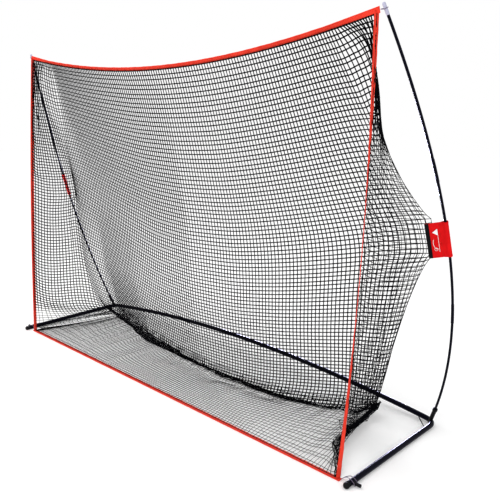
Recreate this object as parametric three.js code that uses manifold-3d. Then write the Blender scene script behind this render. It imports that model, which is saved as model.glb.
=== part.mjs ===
// Free-standing golf practice net: a plug-together steel base, two bent fibreglass
// poles and a net bag held open between them. Millimetres, +Z up, the golfer on the -Y side.
import * as THREE from 'three';
import { mergeVertices } from 'three/addons/utils/BufferGeometryUtils.js';
import Module from 'manifold-3d';

const wasm = await Module();
wasm.setup();

// Base frame
const BASE_WIDTH = 3050; // between the rear corners, tube centre to tube centre
const BASE_DEPTH = 834; // from the front balls to the rear crossbar
const FRONT_SPREAD = 2994; // between the front balls
const TUBE_R = 14;
const TUBE_WALL = 1.2;
const SWAGE_R = 11.9; // narrowed tube end that plugs into the next tube
const SWAGE_LENGTH = 60;
const SLIP_GAP = 0.4;
const ELBOW_R = 62;
const ELBOW_LEG = 150; // from the corner to each end of the elbow
const CROSSBAR_RISE = 106; // the pull of the poles arches the crossbar
const CROSSBAR_JOINT = 480; // from the middle to the centre tube's ends
const BALL_R = 15.5;
const BALL_SKIRT = 17;
const BALL_SHANK = 12;
const PEG_R = 8.5;
const PEG_LENGTH = 36;
const PEG_SETBACK = 40;
const BRACE_R = 2.5;
const BRACE_REACH = 96;
const SOCKET_R = 11;
const SOCKET_RIM_R = 13;
const SOCKET_LENGTH = 92;

// Bent poles
const POLE_R = 6.25;
const FERRULE_R = 7.4;
const FERRULE_LENGTH = 110;
const TIP_R = 7.6;
const TIP_LENGTH = 56;

// Snap buttons
const BUTTON_R = 3.6;
const BUTTON_HOLE_R = 4.4;
const BUTTON_PROUD = 4;
const SPRING_LEAF = [26, 8, 1];

// Net bag and its bindings
const NET_THICK = 4;
const NET_GAP = 7; // room left between neighbouring panels
const EDGE_X = 1430; // half width of the bound mouth
const TOP_EDGE_Z = 2066;
const TOP_SAG = 142;
const TOP_DEPTH = 150;
const MOUTH_DEPTH = 32; // the front floor binding's distance behind the balls
const BINDING_WIDTH = 28;
const BINDING_THICK = 2.6;
const SIDE_BOW = 26; // the side bindings bow outwards by this much
const LOOP_R = 1.6;

// Sleeves that tie the net to the poles
const SLEEVE_LOW = 1022;
const SLEEVE_HIGH = 1190;
const SLEEVE_REACH = 92;
const SLEEVE_THICK = 3;
const SLEEVE_BORE = 9.5;
const STRIP_WIDTH = 18;

const SIDES = 16;
const SMALL_GAP = 0.4;
const FRONT_Y = -(BASE_DEPTH + TUBE_R - BALL_R) / 2;

const UP = new THREE.Vector3(0, 0, 1);
const place = (x, depth, z) => new THREE.Vector3(x, FRONT_Y + depth, z);
const material = (color, roughness, metalness) =>
  new THREE.MeshStandardMaterial({ color, roughness, metalness });
const POWDER_COAT = material(0x11111f, 0.35, 0.3);
const FIBREGLASS = material(0x0c0c14, 0.45, 0);
const BLACK_PLASTIC = material(0x0b0b0d, 0.5, 0);
const PALE_PLASTIC = material(0xb8b8cc, 0.5, 0);
const BRIGHT_STEEL = material(0xb4b6ba, 0.3, 1);
const RED_WEBBING = material(0xee4834, 0.8, 0);
const RED_FABRIC = material(0xd71418, 0.8, 0);
const BLACK_WEBBING = material(0x101014, 0.85, 0);
const NETTING = material(0x26262c, 0.9, 0);
const ELASTIC = material(0x9a90a0, 0.8, 0);

const product = new THREE.Group();

function addPart(name, geometry, finish) {
  const mesh = new THREE.Mesh(geometry, finish);
  mesh.name = name;
  product.add(mesh);
  return mesh;
}

function welded(geometry) {
  const bare = geometry.clone();
  bare.deleteAttribute('normal');
  bare.deleteAttribute('uv');
  return mergeVertices(bare, 1e-4);
}

function toSolid(geometry) {
  const shape = welded(geometry);
  return new wasm.Manifold(new wasm.Mesh({
    numProp: 3,
    vertProperties: new Float32Array(shape.attributes.position.array),
    triVerts: new Uint32Array(shape.index.array),
  }));
}

function fromSolid(solid) {
  const mesh = solid.getMesh();
  const geometry = new THREE.BufferGeometry();
  geometry.setAttribute('position', new THREE.BufferAttribute(mesh.vertProperties, 3));
  geometry.setIndex(new THREE.BufferAttribute(mesh.triVerts, 1));
  return geometry;
}

// A lathe profile in (radius, distance) pairs, with extra rings wherever its axis bends.
function ringedProfile(outline, step, [bendStart, bendEnd]) {
  const points = [];
  const onAxis = outline[0][0] === 0;
  outline.forEach(([radius, along], i) => {
    points.push(new THREE.Vector2(radius, along));
    if (onAxis && i === outline.length - 1) return;
    const [nextRadius, nextAlong] = outline[(i + 1) % outline.length];
    const rings = [];
    for (let s = bendStart; s <= bendEnd; s += step) {
      if ((s - along) * (s - nextAlong) < -1) rings.push(s);
    }
    if (nextAlong < along) rings.reverse();
    for (const s of rings) {
      const t = (s - along) / (nextAlong - along);
      points.push(new THREE.Vector2(radius + (nextRadius - radius) * t, s));
    }
  });
  return points;
}

// Turns a lathe solid about its axis, then lays that axis along the curve.
function latheAlong(curve, outline, { step = 1e6, bend, sides = SIDES, up = UP } = {}) {
  const total = curve.getLength();
  const points = ringedProfile(outline, step, bend ?? [step, total - step / 2]);
  if (outline[0][0] > 0) points.push(points[0].clone());
  const geometry = welded(new THREE.LatheGeometry(points, sides));
  const position = geometry.attributes.position;
  for (let i = 0; i < position.count; i += 1) {
    const along = position.getY(i);
    const inside = THREE.MathUtils.clamp(along / total, 0, 1);
    const tangent = curve.getTangentAt(inside);
    const side = new THREE.Vector3().crossVectors(tangent, up).normalize();
    const over = new THREE.Vector3().crossVectors(side, tangent);
    const point = curve.getPointAt(inside)
      .addScaledVector(tangent, along - inside * total)
      .addScaledVector(side, position.getX(i))
      .addScaledVector(over, position.getZ(i));
    position.setXYZ(i, point.x, point.y, point.z);
  }
  return outward(geometry);
}

// Reverses the faces of a closed mesh whose volume comes out negative.
function outward(geometry) {
  const position = geometry.attributes.position;
  const index = geometry.index.array;
  const [a, b, c] = [new THREE.Vector3(), new THREE.Vector3(), new THREE.Vector3()];
  let volume = 0;
  for (let i = 0; i < index.length; i += 3) {
    a.fromBufferAttribute(position, index[i]);
    b.fromBufferAttribute(position, index[i + 1]);
    c.fromBufferAttribute(position, index[i + 2]);
    volume += a.dot(b.cross(c));
  }
  if (volume < 0) {
    for (let i = 0; i < index.length; i += 3) {
      [index[i], index[i + 1]] = [index[i + 1], index[i]];
    }
  }
  return geometry;
}

const line = (from, to) => new THREE.LineCurve3(from, to);
const mirrored = (side) => (point) => new THREE.Vector3(point.x * side, point.y, point.z);

// A hollow tube with square ends; a swaged end is narrowed so that it plugs into the next tube.
function tubeOutline(length, swageStart, swageEnd) {
  const bore = TUBE_R - TUBE_WALL;
  const thin = SWAGE_R - TUBE_WALL;
  const first = swageStart ? -SWAGE_LENGTH : 0;
  const last = swageEnd ? length + SWAGE_LENGTH : length;
  const outline = [];
  if (swageStart) outline.push([thin, first], [SWAGE_R, first], [SWAGE_R, -SLIP_GAP], [TUBE_R, -SLIP_GAP + 2]);
  else outline.push([bore, first], [TUBE_R, first]);
  if (swageEnd) outline.push([TUBE_R, length - 2], [SWAGE_R, length], [SWAGE_R, last], [thin, last], [thin, length - 4]);
  else outline.push([TUBE_R, last], [bore, last]);
  if (swageEnd) outline.push([bore, length - 8]);
  if (swageStart) outline.push([bore, 8], [thin, 4]);
  return outline;
}

// --- Base frame routes -------------------------------------------------------------------

const crossbarHeight = (x) => TUBE_R + CROSSBAR_RISE * (1 - (2 * x / BASE_WIDTH) ** 2);

class CrossbarRoute extends THREE.Curve {
  constructor(from, to) {
    super();
    this.from = from;
    this.to = to;
  }

  getPoint(t) {
    const x = this.from + (this.to - this.from) * t;
    return place(x, BASE_DEPTH, crossbarHeight(x));
  }
}

const crossbarEnd = BASE_WIDTH / 2 - ELBOW_LEG;
const corner = (side) => place(side * BASE_WIDTH / 2, BASE_DEPTH, TUBE_R);
const ball = (side) => place(side * FRONT_SPREAD / 2, 0, TUBE_R);
const armStart = (side) => corner(side).lerp(ball(side), ELBOW_LEG / BASE_DEPTH);

function elbowRoute(side) {
  const crossbarPoint = place(side * crossbarEnd, BASE_DEPTH, crossbarHeight(crossbarEnd));
  const towardsArm = ball(side).sub(corner(side)).normalize();
  const towardsBar = crossbarPoint.clone().sub(corner(side)).normalize();
  const path = new THREE.CurvePath();
  const bendIn = corner(side).addScaledVector(towardsBar, ELBOW_R);
  const bendOut = corner(side).addScaledVector(towardsArm, ELBOW_R);
  path.add(line(crossbarPoint, bendIn));
  path.add(new THREE.QuadraticBezierCurve3(bendIn, corner(side), bendOut));
  path.add(line(bendOut, armStart(side)));
  return path;
}

const elbowBend = (length) => ({ step: 13, bend: [length / 2 - 52, length / 2 + 53] });

// The pole leans out and forwards from its socket, then bends back in towards its tip.
const POLE_ROUTE = [
  [1507, 816, 30],
  [1768, 640, 690],
  [1672, 412, 1400],
  [1457, 152, 2096],
];

const poleRoute = (side) => new THREE.CubicBezierCurve3(
  ...POLE_ROUTE.map(([x, depth, z]) => place(side * x, depth, z)),
);

class Stretch extends THREE.Curve {
  constructor(curve, from, to) {
    super();
    this.curve = curve;
    this.from = from;
    this.to = to;
  }

  getPoint(t) {
    const total = this.curve.getLength();
    return this.curve.getPointAt((this.from + (this.to - this.from) * t) / total);
  }
}

// --- Snap buttons ------------------------------------------------------------------------

function buttonFrame(curve, along, up) {
  const total = curve.getLength();
  const tangent = curve.getTangentAt(along / total);
  const side = new THREE.Vector3().crossVectors(up, tangent).normalize();
  const out = new THREE.Vector3().crossVectors(tangent, side);
  return new THREE.Matrix4().makeBasis(tangent, side, out).setPosition(curve.getPointAt(along / total));
}

function buttonHole(frame) {
  const drill = new THREE.CylinderGeometry(BUTTON_HOLE_R, BUTTON_HOLE_R, 12, 12);
  drill.rotateX(Math.PI / 2);
  drill.translate(0, 0, TUBE_R - 1);
  drill.applyMatrix4(frame);
  return toSolid(drill);
}

// The button's domed pin stands on the upper leaf of its spring, inside the tube.
function addButton(name, frame) {
  const leafTop = SWAGE_R - TUBE_WALL - 1.6;
  const pinTop = TUBE_R + BUTTON_PROUD;
  const dome = 1.6;
  const pin = new THREE.LatheGeometry([
    new THREE.Vector2(0, leafTop - 0.5),
    new THREE.Vector2(BUTTON_R, leafTop - 0.5),
    new THREE.Vector2(BUTTON_R, pinTop - dome),
    new THREE.Vector2(BUTTON_R * 0.7, pinTop - dome * 0.3),
    new THREE.Vector2(0, pinTop),
  ], 12);
  pin.rotateX(Math.PI / 2);
  const leaf = new THREE.BoxGeometry(...SPRING_LEAF);
  leaf.translate(0, 0, leafTop - SPRING_LEAF[2] / 2);
  const geometry = fromSolid(toSolid(pin).add(toSolid(leaf)));
  geometry.applyMatrix4(frame);
  addPart(name, geometry, BRIGHT_STEEL);
}

// --- Base frame --------------------------------------------------------------------------

const BUTTON_INSET = SWAGE_LENGTH / 2;

function drilled(geometry, frames) {
  const solid = frames.reduce((body, frame) => body.subtract(buttonHole(frame)), toSolid(geometry));
  return fromSolid(solid);
}

function addBase() {
  const centreRoute = new CrossbarRoute(-CROSSBAR_JOINT, CROSSBAR_JOINT);
  const centreLength = centreRoute.getLength();
  const centreFrames = [BUTTON_INSET, centreLength - BUTTON_INSET].map((s) => buttonFrame(centreRoute, s, UP));
  const centreTube = latheAlong(centreRoute, tubeOutline(centreLength, false, false), { step: 160 });
  addPart('crossbar_centre_tube', drilled(centreTube, centreFrames), POWDER_COAT);

  for (const [side, hand] of [[-1, 'left'], [1, 'right']]) {
    const outerRoute = new CrossbarRoute(side * CROSSBAR_JOINT, side * crossbarEnd);
    const outerLength = outerRoute.getLength();
    const elbow = elbowRoute(side);
    const elbowLength = elbow.getLength();
    const arm = line(armStart(side), ball(side));
    const armLength = arm.getLength() - BALL_SKIRT;

    const innerFrame = centreFrames[side < 0 ? 0 : 1];
    const cornerFrame = buttonFrame(outerRoute, outerLength - BUTTON_INSET, UP);
    const armFrame = buttonFrame(arm, BUTTON_INSET, UP);
    addButton(`snap_button_crossbar_inner_${hand}`, innerFrame);
    addButton(`snap_button_crossbar_corner_${hand}`, cornerFrame);
    addButton(`snap_button_arm_${hand}`, armFrame);

    const outerTube = latheAlong(outerRoute, tubeOutline(outerLength, true, false), { step: 160 });
    addPart(`crossbar_${hand}_tube`, drilled(outerTube, [innerFrame, cornerFrame]), POWDER_COAT);
    const elbowTube = latheAlong(elbow, tubeOutline(elbowLength, true, true), elbowBend(elbowLength));
    const cut = socketCut(side);
    const holes = [cornerFrame, armFrame].reduce((body, frame) => body.subtract(buttonHole(frame)), toSolid(elbowTube));
    addPart(`corner_elbow_${hand}`, fromSolid(holes.subtract(cut)), POWDER_COAT);
    const armTube = latheAlong(arm, tubeOutline(armLength, false, false));
    const pegged = toSolid(armTube).subtract(buttonHole(armFrame)).subtract(pegSolid(side, PEG_R + SMALL_GAP));
    addPart(`side_arm_${hand}`, fromSolid(pegged), POWDER_COAT);
    addFrontEnd(side, hand, arm, armLength);
    addCornerFittings(side, hand);
  }
}

// The peg that the net's corner loop hooks on runs across the arm and points outwards.
function pegSolid(side, radius) {
  const centre = ball(side).lerp(corner(side), PEG_SETBACK / BASE_DEPTH);
  const inner = side * (SWAGE_R - 3);
  const outer = side * (TUBE_R + PEG_LENGTH);
  const route = line(centre.clone().setX(centre.x + inner), centre.clone().setX(centre.x + outer));
  const length = route.getLength();
  return toSolid(latheAlong(route, [[0, 0], [radius, 0], [radius, length - 3], [radius - 3, length], [0, length]]));
}

function addFrontEnd(side, hand, arm, armLength) {
  addPart(`arm_peg_${hand}`, fromSolid(pegSolid(side, PEG_R)), BLACK_PLASTIC);
  const shank = TUBE_R - TUBE_WALL - SMALL_GAP;
  const start = armLength + SMALL_GAP;
  const middle = arm.getLength();
  const outline = [[0, start - BALL_SHANK], [shank, start - BALL_SHANK], [shank, start], [TUBE_R, start]];
  outline.push([TUBE_R, middle - BALL_R * 0.9]);
  for (let i = 2; i <= 8; i += 1) {
    const angle = Math.PI * (1 - i / 8);
    outline.push([BALL_R * Math.sin(angle), middle + BALL_R * Math.cos(angle)]);
  }
  outline[outline.length - 1][0] = 0;
  const ballCap = toSolid(latheAlong(arm, outline));
  const floorCut = new THREE.BoxGeometry(200, 200, 20);
  floorCut.translate(ball(side).x, FRONT_Y, -10);
  addPart(`front_ball_cap_${hand}`, fromSolid(ballCap.subtract(toSolid(floorCut))), BLACK_PLASTIC);
}

function socketRoute(side) {
  const pole = poleRoute(side);
  const foot = pole.getPointAt(0);
  const direction = pole.getPointAt(SOCKET_LENGTH / 2 / pole.getLength()).sub(foot).normalize();
  return line(foot, foot.clone().addScaledVector(direction, SOCKET_LENGTH));
}

const SOCKET_SINK = -14;

// The outline of everything the elbow gives way to: the socket with its welding gap.
function socketCut(side) {
  const radius = SOCKET_R + SMALL_GAP;
  const outline = [[0, SOCKET_SINK - 1], [radius, SOCKET_SINK - 1], [radius, 40], [0, 40]];
  return toSolid(latheAlong(socketRoute(side), outline));
}

function addCornerFittings(side, hand) {
  const route = socketRoute(side);
  const bore = POLE_R + SMALL_GAP;
  const socket = [[0, SOCKET_SINK], [SOCKET_R, SOCKET_SINK], [SOCKET_R, SOCKET_LENGTH - 20]];
  socket.push([SOCKET_RIM_R, SOCKET_LENGTH - 16], [SOCKET_RIM_R, SOCKET_LENGTH - 3]);
  socket.push([SOCKET_RIM_R - 2, SOCKET_LENGTH], [bore + 1, SOCKET_LENGTH], [bore + 1, -2], [0, -2]);
  addPart(`pole_socket_${hand}`, latheAlong(route, socket), BLACK_PLASTIC);

  const inset = TUBE_R + BRACE_R * 0.5;
  const onBar = place(side * (BASE_WIDTH / 2 - BRACE_REACH), BASE_DEPTH - inset, crossbarHeight(BASE_WIDTH / 2 - BRACE_REACH));
  const onArm = place(side * (BASE_WIDTH / 2 - inset - 3), BASE_DEPTH - BRACE_REACH, TUBE_R + 2);
  const rod = line(onBar, onArm);
  const length = rod.getLength();
  const rodSolid = toSolid(latheAlong(rod, [[0, 0], [BRACE_R, 0], [BRACE_R, length], [0, length]], { sides: 8 }));
  const elbow = elbowRoute(side);
  const room = toSolid(latheAlong(elbow, [
    [0, -40], [TUBE_R + SMALL_GAP, -40], [TUBE_R + SMALL_GAP, elbow.getLength() + 40], [0, elbow.getLength() + 40],
  ], elbowBend(elbow.getLength())));
  addPart(`corner_brace_${hand}`, fromSolid(rodSolid.subtract(room)), POWDER_COAT);
}

// --- Bent poles --------------------------------------------------------------------------

function addPole(side, hand) {
  const pole = poleRoute(side);
  const length = pole.getLength();
  const joints = [0, length / 3, 2 * length / 3, length - 4];
  const options = { step: 50, sides: 10, up: new THREE.Vector3(0, 1, 0) };
  ['lower', 'middle', 'upper'].forEach((label, i) => {
    const [from, to] = [joints[i] + SMALL_GAP, joints[i + 1] - SMALL_GAP];
    const outline = [[0, 0], [POLE_R, 0], [POLE_R, to - from], [0, to - from]];
    addPart(`pole_${label}_${hand}`, latheAlong(new Stretch(pole, from, to), outline, options), FIBREGLASS);
  });
  ['low', 'high'].forEach((label, i) => {
    const middle = joints[i + 1];
    const bore = POLE_R + SMALL_GAP;
    const outline = [[bore, 0], [FERRULE_R, 0], [FERRULE_R, FERRULE_LENGTH], [bore, FERRULE_LENGTH]];
    const stretch = new Stretch(pole, middle - FERRULE_LENGTH / 2, middle + FERRULE_LENGTH / 2);
    addPart(`pole_ferrule_${label}_${hand}`, latheAlong(stretch, outline, { ...options, step: 30 }), FIBREGLASS);
  });
  const bore = POLE_R + SMALL_GAP;
  const tip = [[bore, 0], [TIP_R, 0], [TIP_R, TIP_LENGTH - 5], [TIP_R - 2.5, TIP_LENGTH - 1]];
  tip.push([TIP_R - 5, TIP_LENGTH], [0, TIP_LENGTH], [0, TIP_LENGTH - 3], [bore, TIP_LENGTH - 3]);
  const start = length - TIP_LENGTH + 2;
  addPart(`pole_tip_cap_${hand}`, tipCap(new Stretch(pole, start, length), tip, options), PALE_PLASTIC);
}

// A cap is a cup: the outline is turned about to start and end on the axis.
function tipCap(route, outline, options) {
  const turned = [...outline.slice(6), ...outline.slice(0, 6)];
  return latheAlong(route, turned, { ...options, step: 30 });
}

// --- Net bag -----------------------------------------------------------------------------

const topEdgeZ = (x) => TOP_EDGE_Z - TOP_SAG * (1 - (x / EDGE_X) ** 2);
const BELOW_BINDING = BINDING_WIDTH / 2 + 8;

// Half ribs of the bag as [x, depth, z]: first from the side binding back to the rear fold,
// then from the fold across the back to the middle, for six heights from the top down.
const SIDE_RIBS = [
  [[1428, 169, 2028], [1421, 175, 2025], [1414, 182, 2022]],
  [[1446, 140, 1600], [1436, 215, 1598], [1400, 285, 1595]],
  [[1450, 122, 1105], [1500, 300, 1105], [1553, 462, 1105]],
  [[1444, 90, 520], [1440, 300, 510], [1402, 478, 500]],
  [[1428, 74, 150], [1376, 300, 135], [1335, 518, 130]],
  [[1392, 84, 22], [1284, 300, 14], [1275, 495, 14]],
];
const BACK_RIBS = [
  [[1404, 190, 2018], [1000, 196, topEdgeZ(1000) - BELOW_BINDING], [500, 200, topEdgeZ(500) - BELOW_BINDING],
    [0, 202, topEdgeZ(0) - BELOW_BINDING]],
  [[1388, 300, 1593], [1240, 330, 1580], [700, 302, 1540], [0, 278, 1500]],
  [[1546, 476, 1105], [1410, 500, 1100], [900, 452, 1060], [0, 372, 1010]],
  [[1390, 494, 498], [1190, 526, 490], [700, 462, 475], [0, 420, 460]],
  [[1322, 542, 130], [1100, 584, 125], [600, 498, 115], [0, 458, 105]],
  [[1262, 522, 14], [1040, 562, 14], [600, 498, 14], [0, 462, 14]],
];

function ribSurface(ribs, side) {
  const curves = ribs.map((rib) => new THREE.CatmullRomCurve3(rib.map(([x, depth, z]) => place(side * x, depth, z))));
  return (u, v) => new THREE.CatmullRomCurve3(curves.map((curve) => curve.getPointAt(u))).getPointAt(v);
}

// A closed shell on a grid of surface points, thickened along the surface normals.
function shell(surface, columns, rows, thickness) {
  const normalAt = (u, v) => {
    const d = 0.01;
    const du = surface(Math.min(u + d, 1), v).sub(surface(Math.max(u - d, 0), v));
    const dv = surface(u, Math.min(v + d, 1)).sub(surface(u, Math.max(v - d, 0)));
    return du.cross(dv).normalize();
  };
  const points = [];
  for (const lift of [-0.5, 0.5]) {
    for (let j = 0; j <= rows; j += 1) {
      for (let i = 0; i <= columns; i += 1) {
        const [u, v] = [i / columns, j / rows];
        points.push(surface(u, v).addScaledVector(normalAt(u, v), lift * thickness));
      }
    }
  }
  const layer = (columns + 1) * (rows + 1);
  const at = (i, j, top) => top * layer + j * (columns + 1) + i;
  const index = [];
  const quad = (a, b, c, d) => index.push(a, b, c, a, c, d);
  for (let j = 0; j < rows; j += 1) {
    for (let i = 0; i < columns; i += 1) {
      quad(at(i, j, 1), at(i + 1, j, 1), at(i + 1, j + 1, 1), at(i, j + 1, 1));
      quad(at(i, j, 0), at(i, j + 1, 0), at(i + 1, j + 1, 0), at(i + 1, j, 0));
    }
  }
  for (let i = 0; i < columns; i += 1) {
    quad(at(i, 0, 0), at(i + 1, 0, 0), at(i + 1, 0, 1), at(i, 0, 1));
    quad(at(i, rows, 1), at(i + 1, rows, 1), at(i + 1, rows, 0), at(i, rows, 0));
  }
  for (let j = 0; j < rows; j += 1) {
    quad(at(0, j, 1), at(0, j + 1, 1), at(0, j + 1, 0), at(0, j, 0));
    quad(at(columns, j, 0), at(columns, j + 1, 0), at(columns, j + 1, 1), at(columns, j, 1));
  }
  const geometry = new THREE.BufferGeometry();
  geometry.setAttribute('position', new THREE.Float32BufferAttribute(points.flatMap((p) => p.toArray()), 3));
  geometry.setIndex(index);
  return outward(geometry);
}

// The back panel's half ribs are mirrored, so that one surface spans from fold to fold.
function backSurface() {
  const half = ribSurface(BACK_RIBS, 1);
  return (u, v) => {
    const point = half(1 - Math.abs(2 * u - 1), v);
    return u < 0.5 ? point.setX(-point.x) : point;
  };
}

function floorPanel() {
  const rear = BACK_RIBS[BACK_RIBS.length - 1];
  const front = MOUTH_DEPTH + BINDING_WIDTH / 2 + NET_GAP;
  const rearDepth = (depth) => depth - 2.5 * NET_GAP;
  const outline = new THREE.Shape();
  outline.moveTo(-1370, FRONT_Y + front);
  outline.lineTo(1370, FRONT_Y + front);
  outline.quadraticCurveTo(1262, FRONT_Y + 260, 1235, FRONT_Y + rearDepth(510));
  const back = rear.slice(1).map(([x, depth]) => new THREE.Vector2(x, FRONT_Y + rearDepth(depth)));
  const left = rear.slice(1, -1).reverse().map(([x, depth]) => new THREE.Vector2(-x, FRONT_Y + rearDepth(depth)));
  outline.splineThru([...back, ...left, new THREE.Vector2(-1235, FRONT_Y + rearDepth(510))]);
  outline.quadraticCurveTo(-1262, FRONT_Y + 260, -1370, FRONT_Y + front);
  return new THREE.ExtrudeGeometry(outline, { depth: NET_THICK, bevelEnabled: false, curveSegments: 4 });
}

function addNet() {
  addPart('net_back_panel', shell(backSurface(), 22, 12, NET_THICK), NETTING);
  addPart('net_left_side', shell(ribSurface(SIDE_RIBS, -1), 6, 12, NET_THICK), NETTING);
  addPart('net_right_side', shell(ribSurface(SIDE_RIBS, 1), 6, 12, NET_THICK), NETTING);
  addPart('net_floor_panel', outward(welded(floorPanel())), NETTING);
}

// --- Bindings, sleeves and loops ---------------------------------------------------------

// A flat band of rectangular section whose broad face looks along the given direction.
function band(curve, width, thickness, facing, steps) {
  const surface = (u, v) => {
    const tangent = curve.getTangentAt(v);
    const across = new THREE.Vector3().crossVectors(tangent, facing).normalize();
    return curve.getPointAt(v).addScaledVector(across, (u - 0.5) * width);
  };
  return shell(surface, 1, steps, thickness);
}

class TopEdge extends THREE.Curve {
  getPoint(t) {
    const x = (2 * t - 1) * (EDGE_X + BINDING_WIDTH / 2);
    return place(x, TOP_DEPTH + 14 * (1 - (x / EDGE_X) ** 2), topEdgeZ(x));
  }
}

const sideBinding = (side) => new THREE.QuadraticBezierCurve3(
  place(side * EDGE_X, TOP_DEPTH, TOP_EDGE_Z - BINDING_WIDTH / 2 - 3),
  place(side * (EDGE_X + 2 * SIDE_BOW), (TOP_DEPTH + MOUTH_DEPTH) / 2, TOP_EDGE_Z / 2),
  place(side * EDGE_X, MOUTH_DEPTH, BINDING_THICK + 3),
);

function addBindings() {
  const towardsGolfer = new THREE.Vector3(0, -1, 0);
  addPart('binding_top', band(new TopEdge(), BINDING_WIDTH, BINDING_THICK, towardsGolfer, 24), RED_WEBBING);
  const floorLine = line(
    place(-EDGE_X - BINDING_WIDTH / 2, MOUTH_DEPTH, BINDING_THICK / 2),
    place(EDGE_X + BINDING_WIDTH / 2, MOUTH_DEPTH, BINDING_THICK / 2),
  );
  addPart('binding_floor', band(floorLine, BINDING_WIDTH, BINDING_THICK, UP, 1), RED_WEBBING);
  // The side net pulls its bindings round, so that their faces look sideways.
  for (const [side, hand] of [[-1, 'left'], [1, 'right']]) {
    const sideways = new THREE.Vector3(-0.97, side * 0.24, 0);
    const strip = band(sideBinding(side), BINDING_WIDTH, BINDING_THICK, sideways, 16);
    addPart(`binding_${hand}`, strip, RED_WEBBING);
  }
}

// The sleeve is a band of fabric folded round the pole. Its flat part points inwards and forwards, as the net pulls it.
function addSleeve(side, hand) {
  const pole = poleRoute(side);
  const low = pointAtHeight(pole, SLEEVE_LOW);
  const high = pointAtHeight(pole, SLEEVE_HIGH);
  const axis = high.clone().sub(low).normalize();
  const pull = new THREE.Vector3(-0.89 * side, -0.457, 0);
  const reach = pull.clone().addScaledVector(axis, -pull.dot(axis)).normalize();
  const normal = new THREE.Vector3().crossVectors(axis, reach);
  const frame = new THREE.Matrix4().makeBasis(reach, normal, axis);
  const middle = pole.getPointAt(0.5 * (lengthAtHeight(pole, SLEEVE_LOW) + lengthAtHeight(pole, SLEEVE_HIGH)));
  const bulge = middle.clone().sub(low.clone().lerp(high, 0.5)).multiplyScalar(0.5);
  frame.setPosition(low.clone().add(bulge));
  const height = high.distanceTo(low);

  const outerR = SLEEVE_BORE + SLEEVE_THICK;
  const outline = new THREE.Shape();
  const flat = SLEEVE_THICK;
  outline.absarc(0, 0, outerR, Math.PI / 4, 2 * Math.PI - Math.PI / 4, false);
  outline.lineTo(outerR * 1.9, -flat / 2);
  outline.lineTo(SLEEVE_REACH, -flat / 2);
  outline.lineTo(SLEEVE_REACH, flat / 2);
  outline.lineTo(outerR * 1.9, flat / 2);
  const hole = new THREE.Path();
  hole.absarc(0, 0, SLEEVE_BORE, 0, 2 * Math.PI, true);
  outline.holes.push(hole);
  const sleeve = new THREE.ExtrudeGeometry(outline, { depth: height, bevelEnabled: false, curveSegments: 14 });
  addPart(`pole_sleeve_${hand}`, outward(welded(sleeve).applyMatrix4(frame)), RED_FABRIC);

  const strip = new THREE.BoxGeometry(STRIP_WIDTH, 1.6, height);
  strip.translate(SLEEVE_REACH - STRIP_WIDTH / 2, side * (flat / 2 + SMALL_GAP + 0.8), height / 2);
  addPart(`sleeve_webbing_${hand}`, outward(welded(strip).applyMatrix4(frame)), BLACK_WEBBING);
}

function lengthAtHeight(curve, z) {
  let [low, high] = [0, 1];
  for (let i = 0; i < 30; i += 1) {
    const middle = (low + high) / 2;
    if (curve.getPointAt(middle).z < z) low = middle;
    else high = middle;
  }
  return low;
}

const pointAtHeight = (curve, z) => curve.getPointAt(lengthAtHeight(curve, z));

// An elastic loop: a ring whose round section follows a closed curve.
function ringAlong(points) {
  const curve = new THREE.CatmullRomCurve3(points, true);
  const [around, steps] = [6, 30];
  const ring = welded(new THREE.TorusGeometry(100, LOOP_R, around, steps));
  const position = ring.attributes.position;
  for (let i = 0; i < position.count; i += 1) {
    const spot = new THREE.Vector3().fromBufferAttribute(position, i);
    const angle = (Math.atan2(spot.y, spot.x) / (2 * Math.PI) + 1) % 1;
    const out = Math.hypot(spot.x, spot.y) - 100;
    const tangent = curve.getTangentAt(angle);
    const middle = curve.getPointAt(angle);
    const away = middle.clone().sub(ringCentre(points)).normalize();
    const lift = new THREE.Vector3().crossVectors(tangent, away).normalize();
    const side = new THREE.Vector3().crossVectors(lift, tangent);
    middle.addScaledVector(side, out).addScaledVector(lift, spot.z);
    position.setXYZ(i, middle.x, middle.y, middle.z);
  }
  return outward(ring);
}

function ringCentre(points) {
  return points.reduce((sum, point) => sum.add(point), new THREE.Vector3()).divideScalar(points.length);
}

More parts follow.
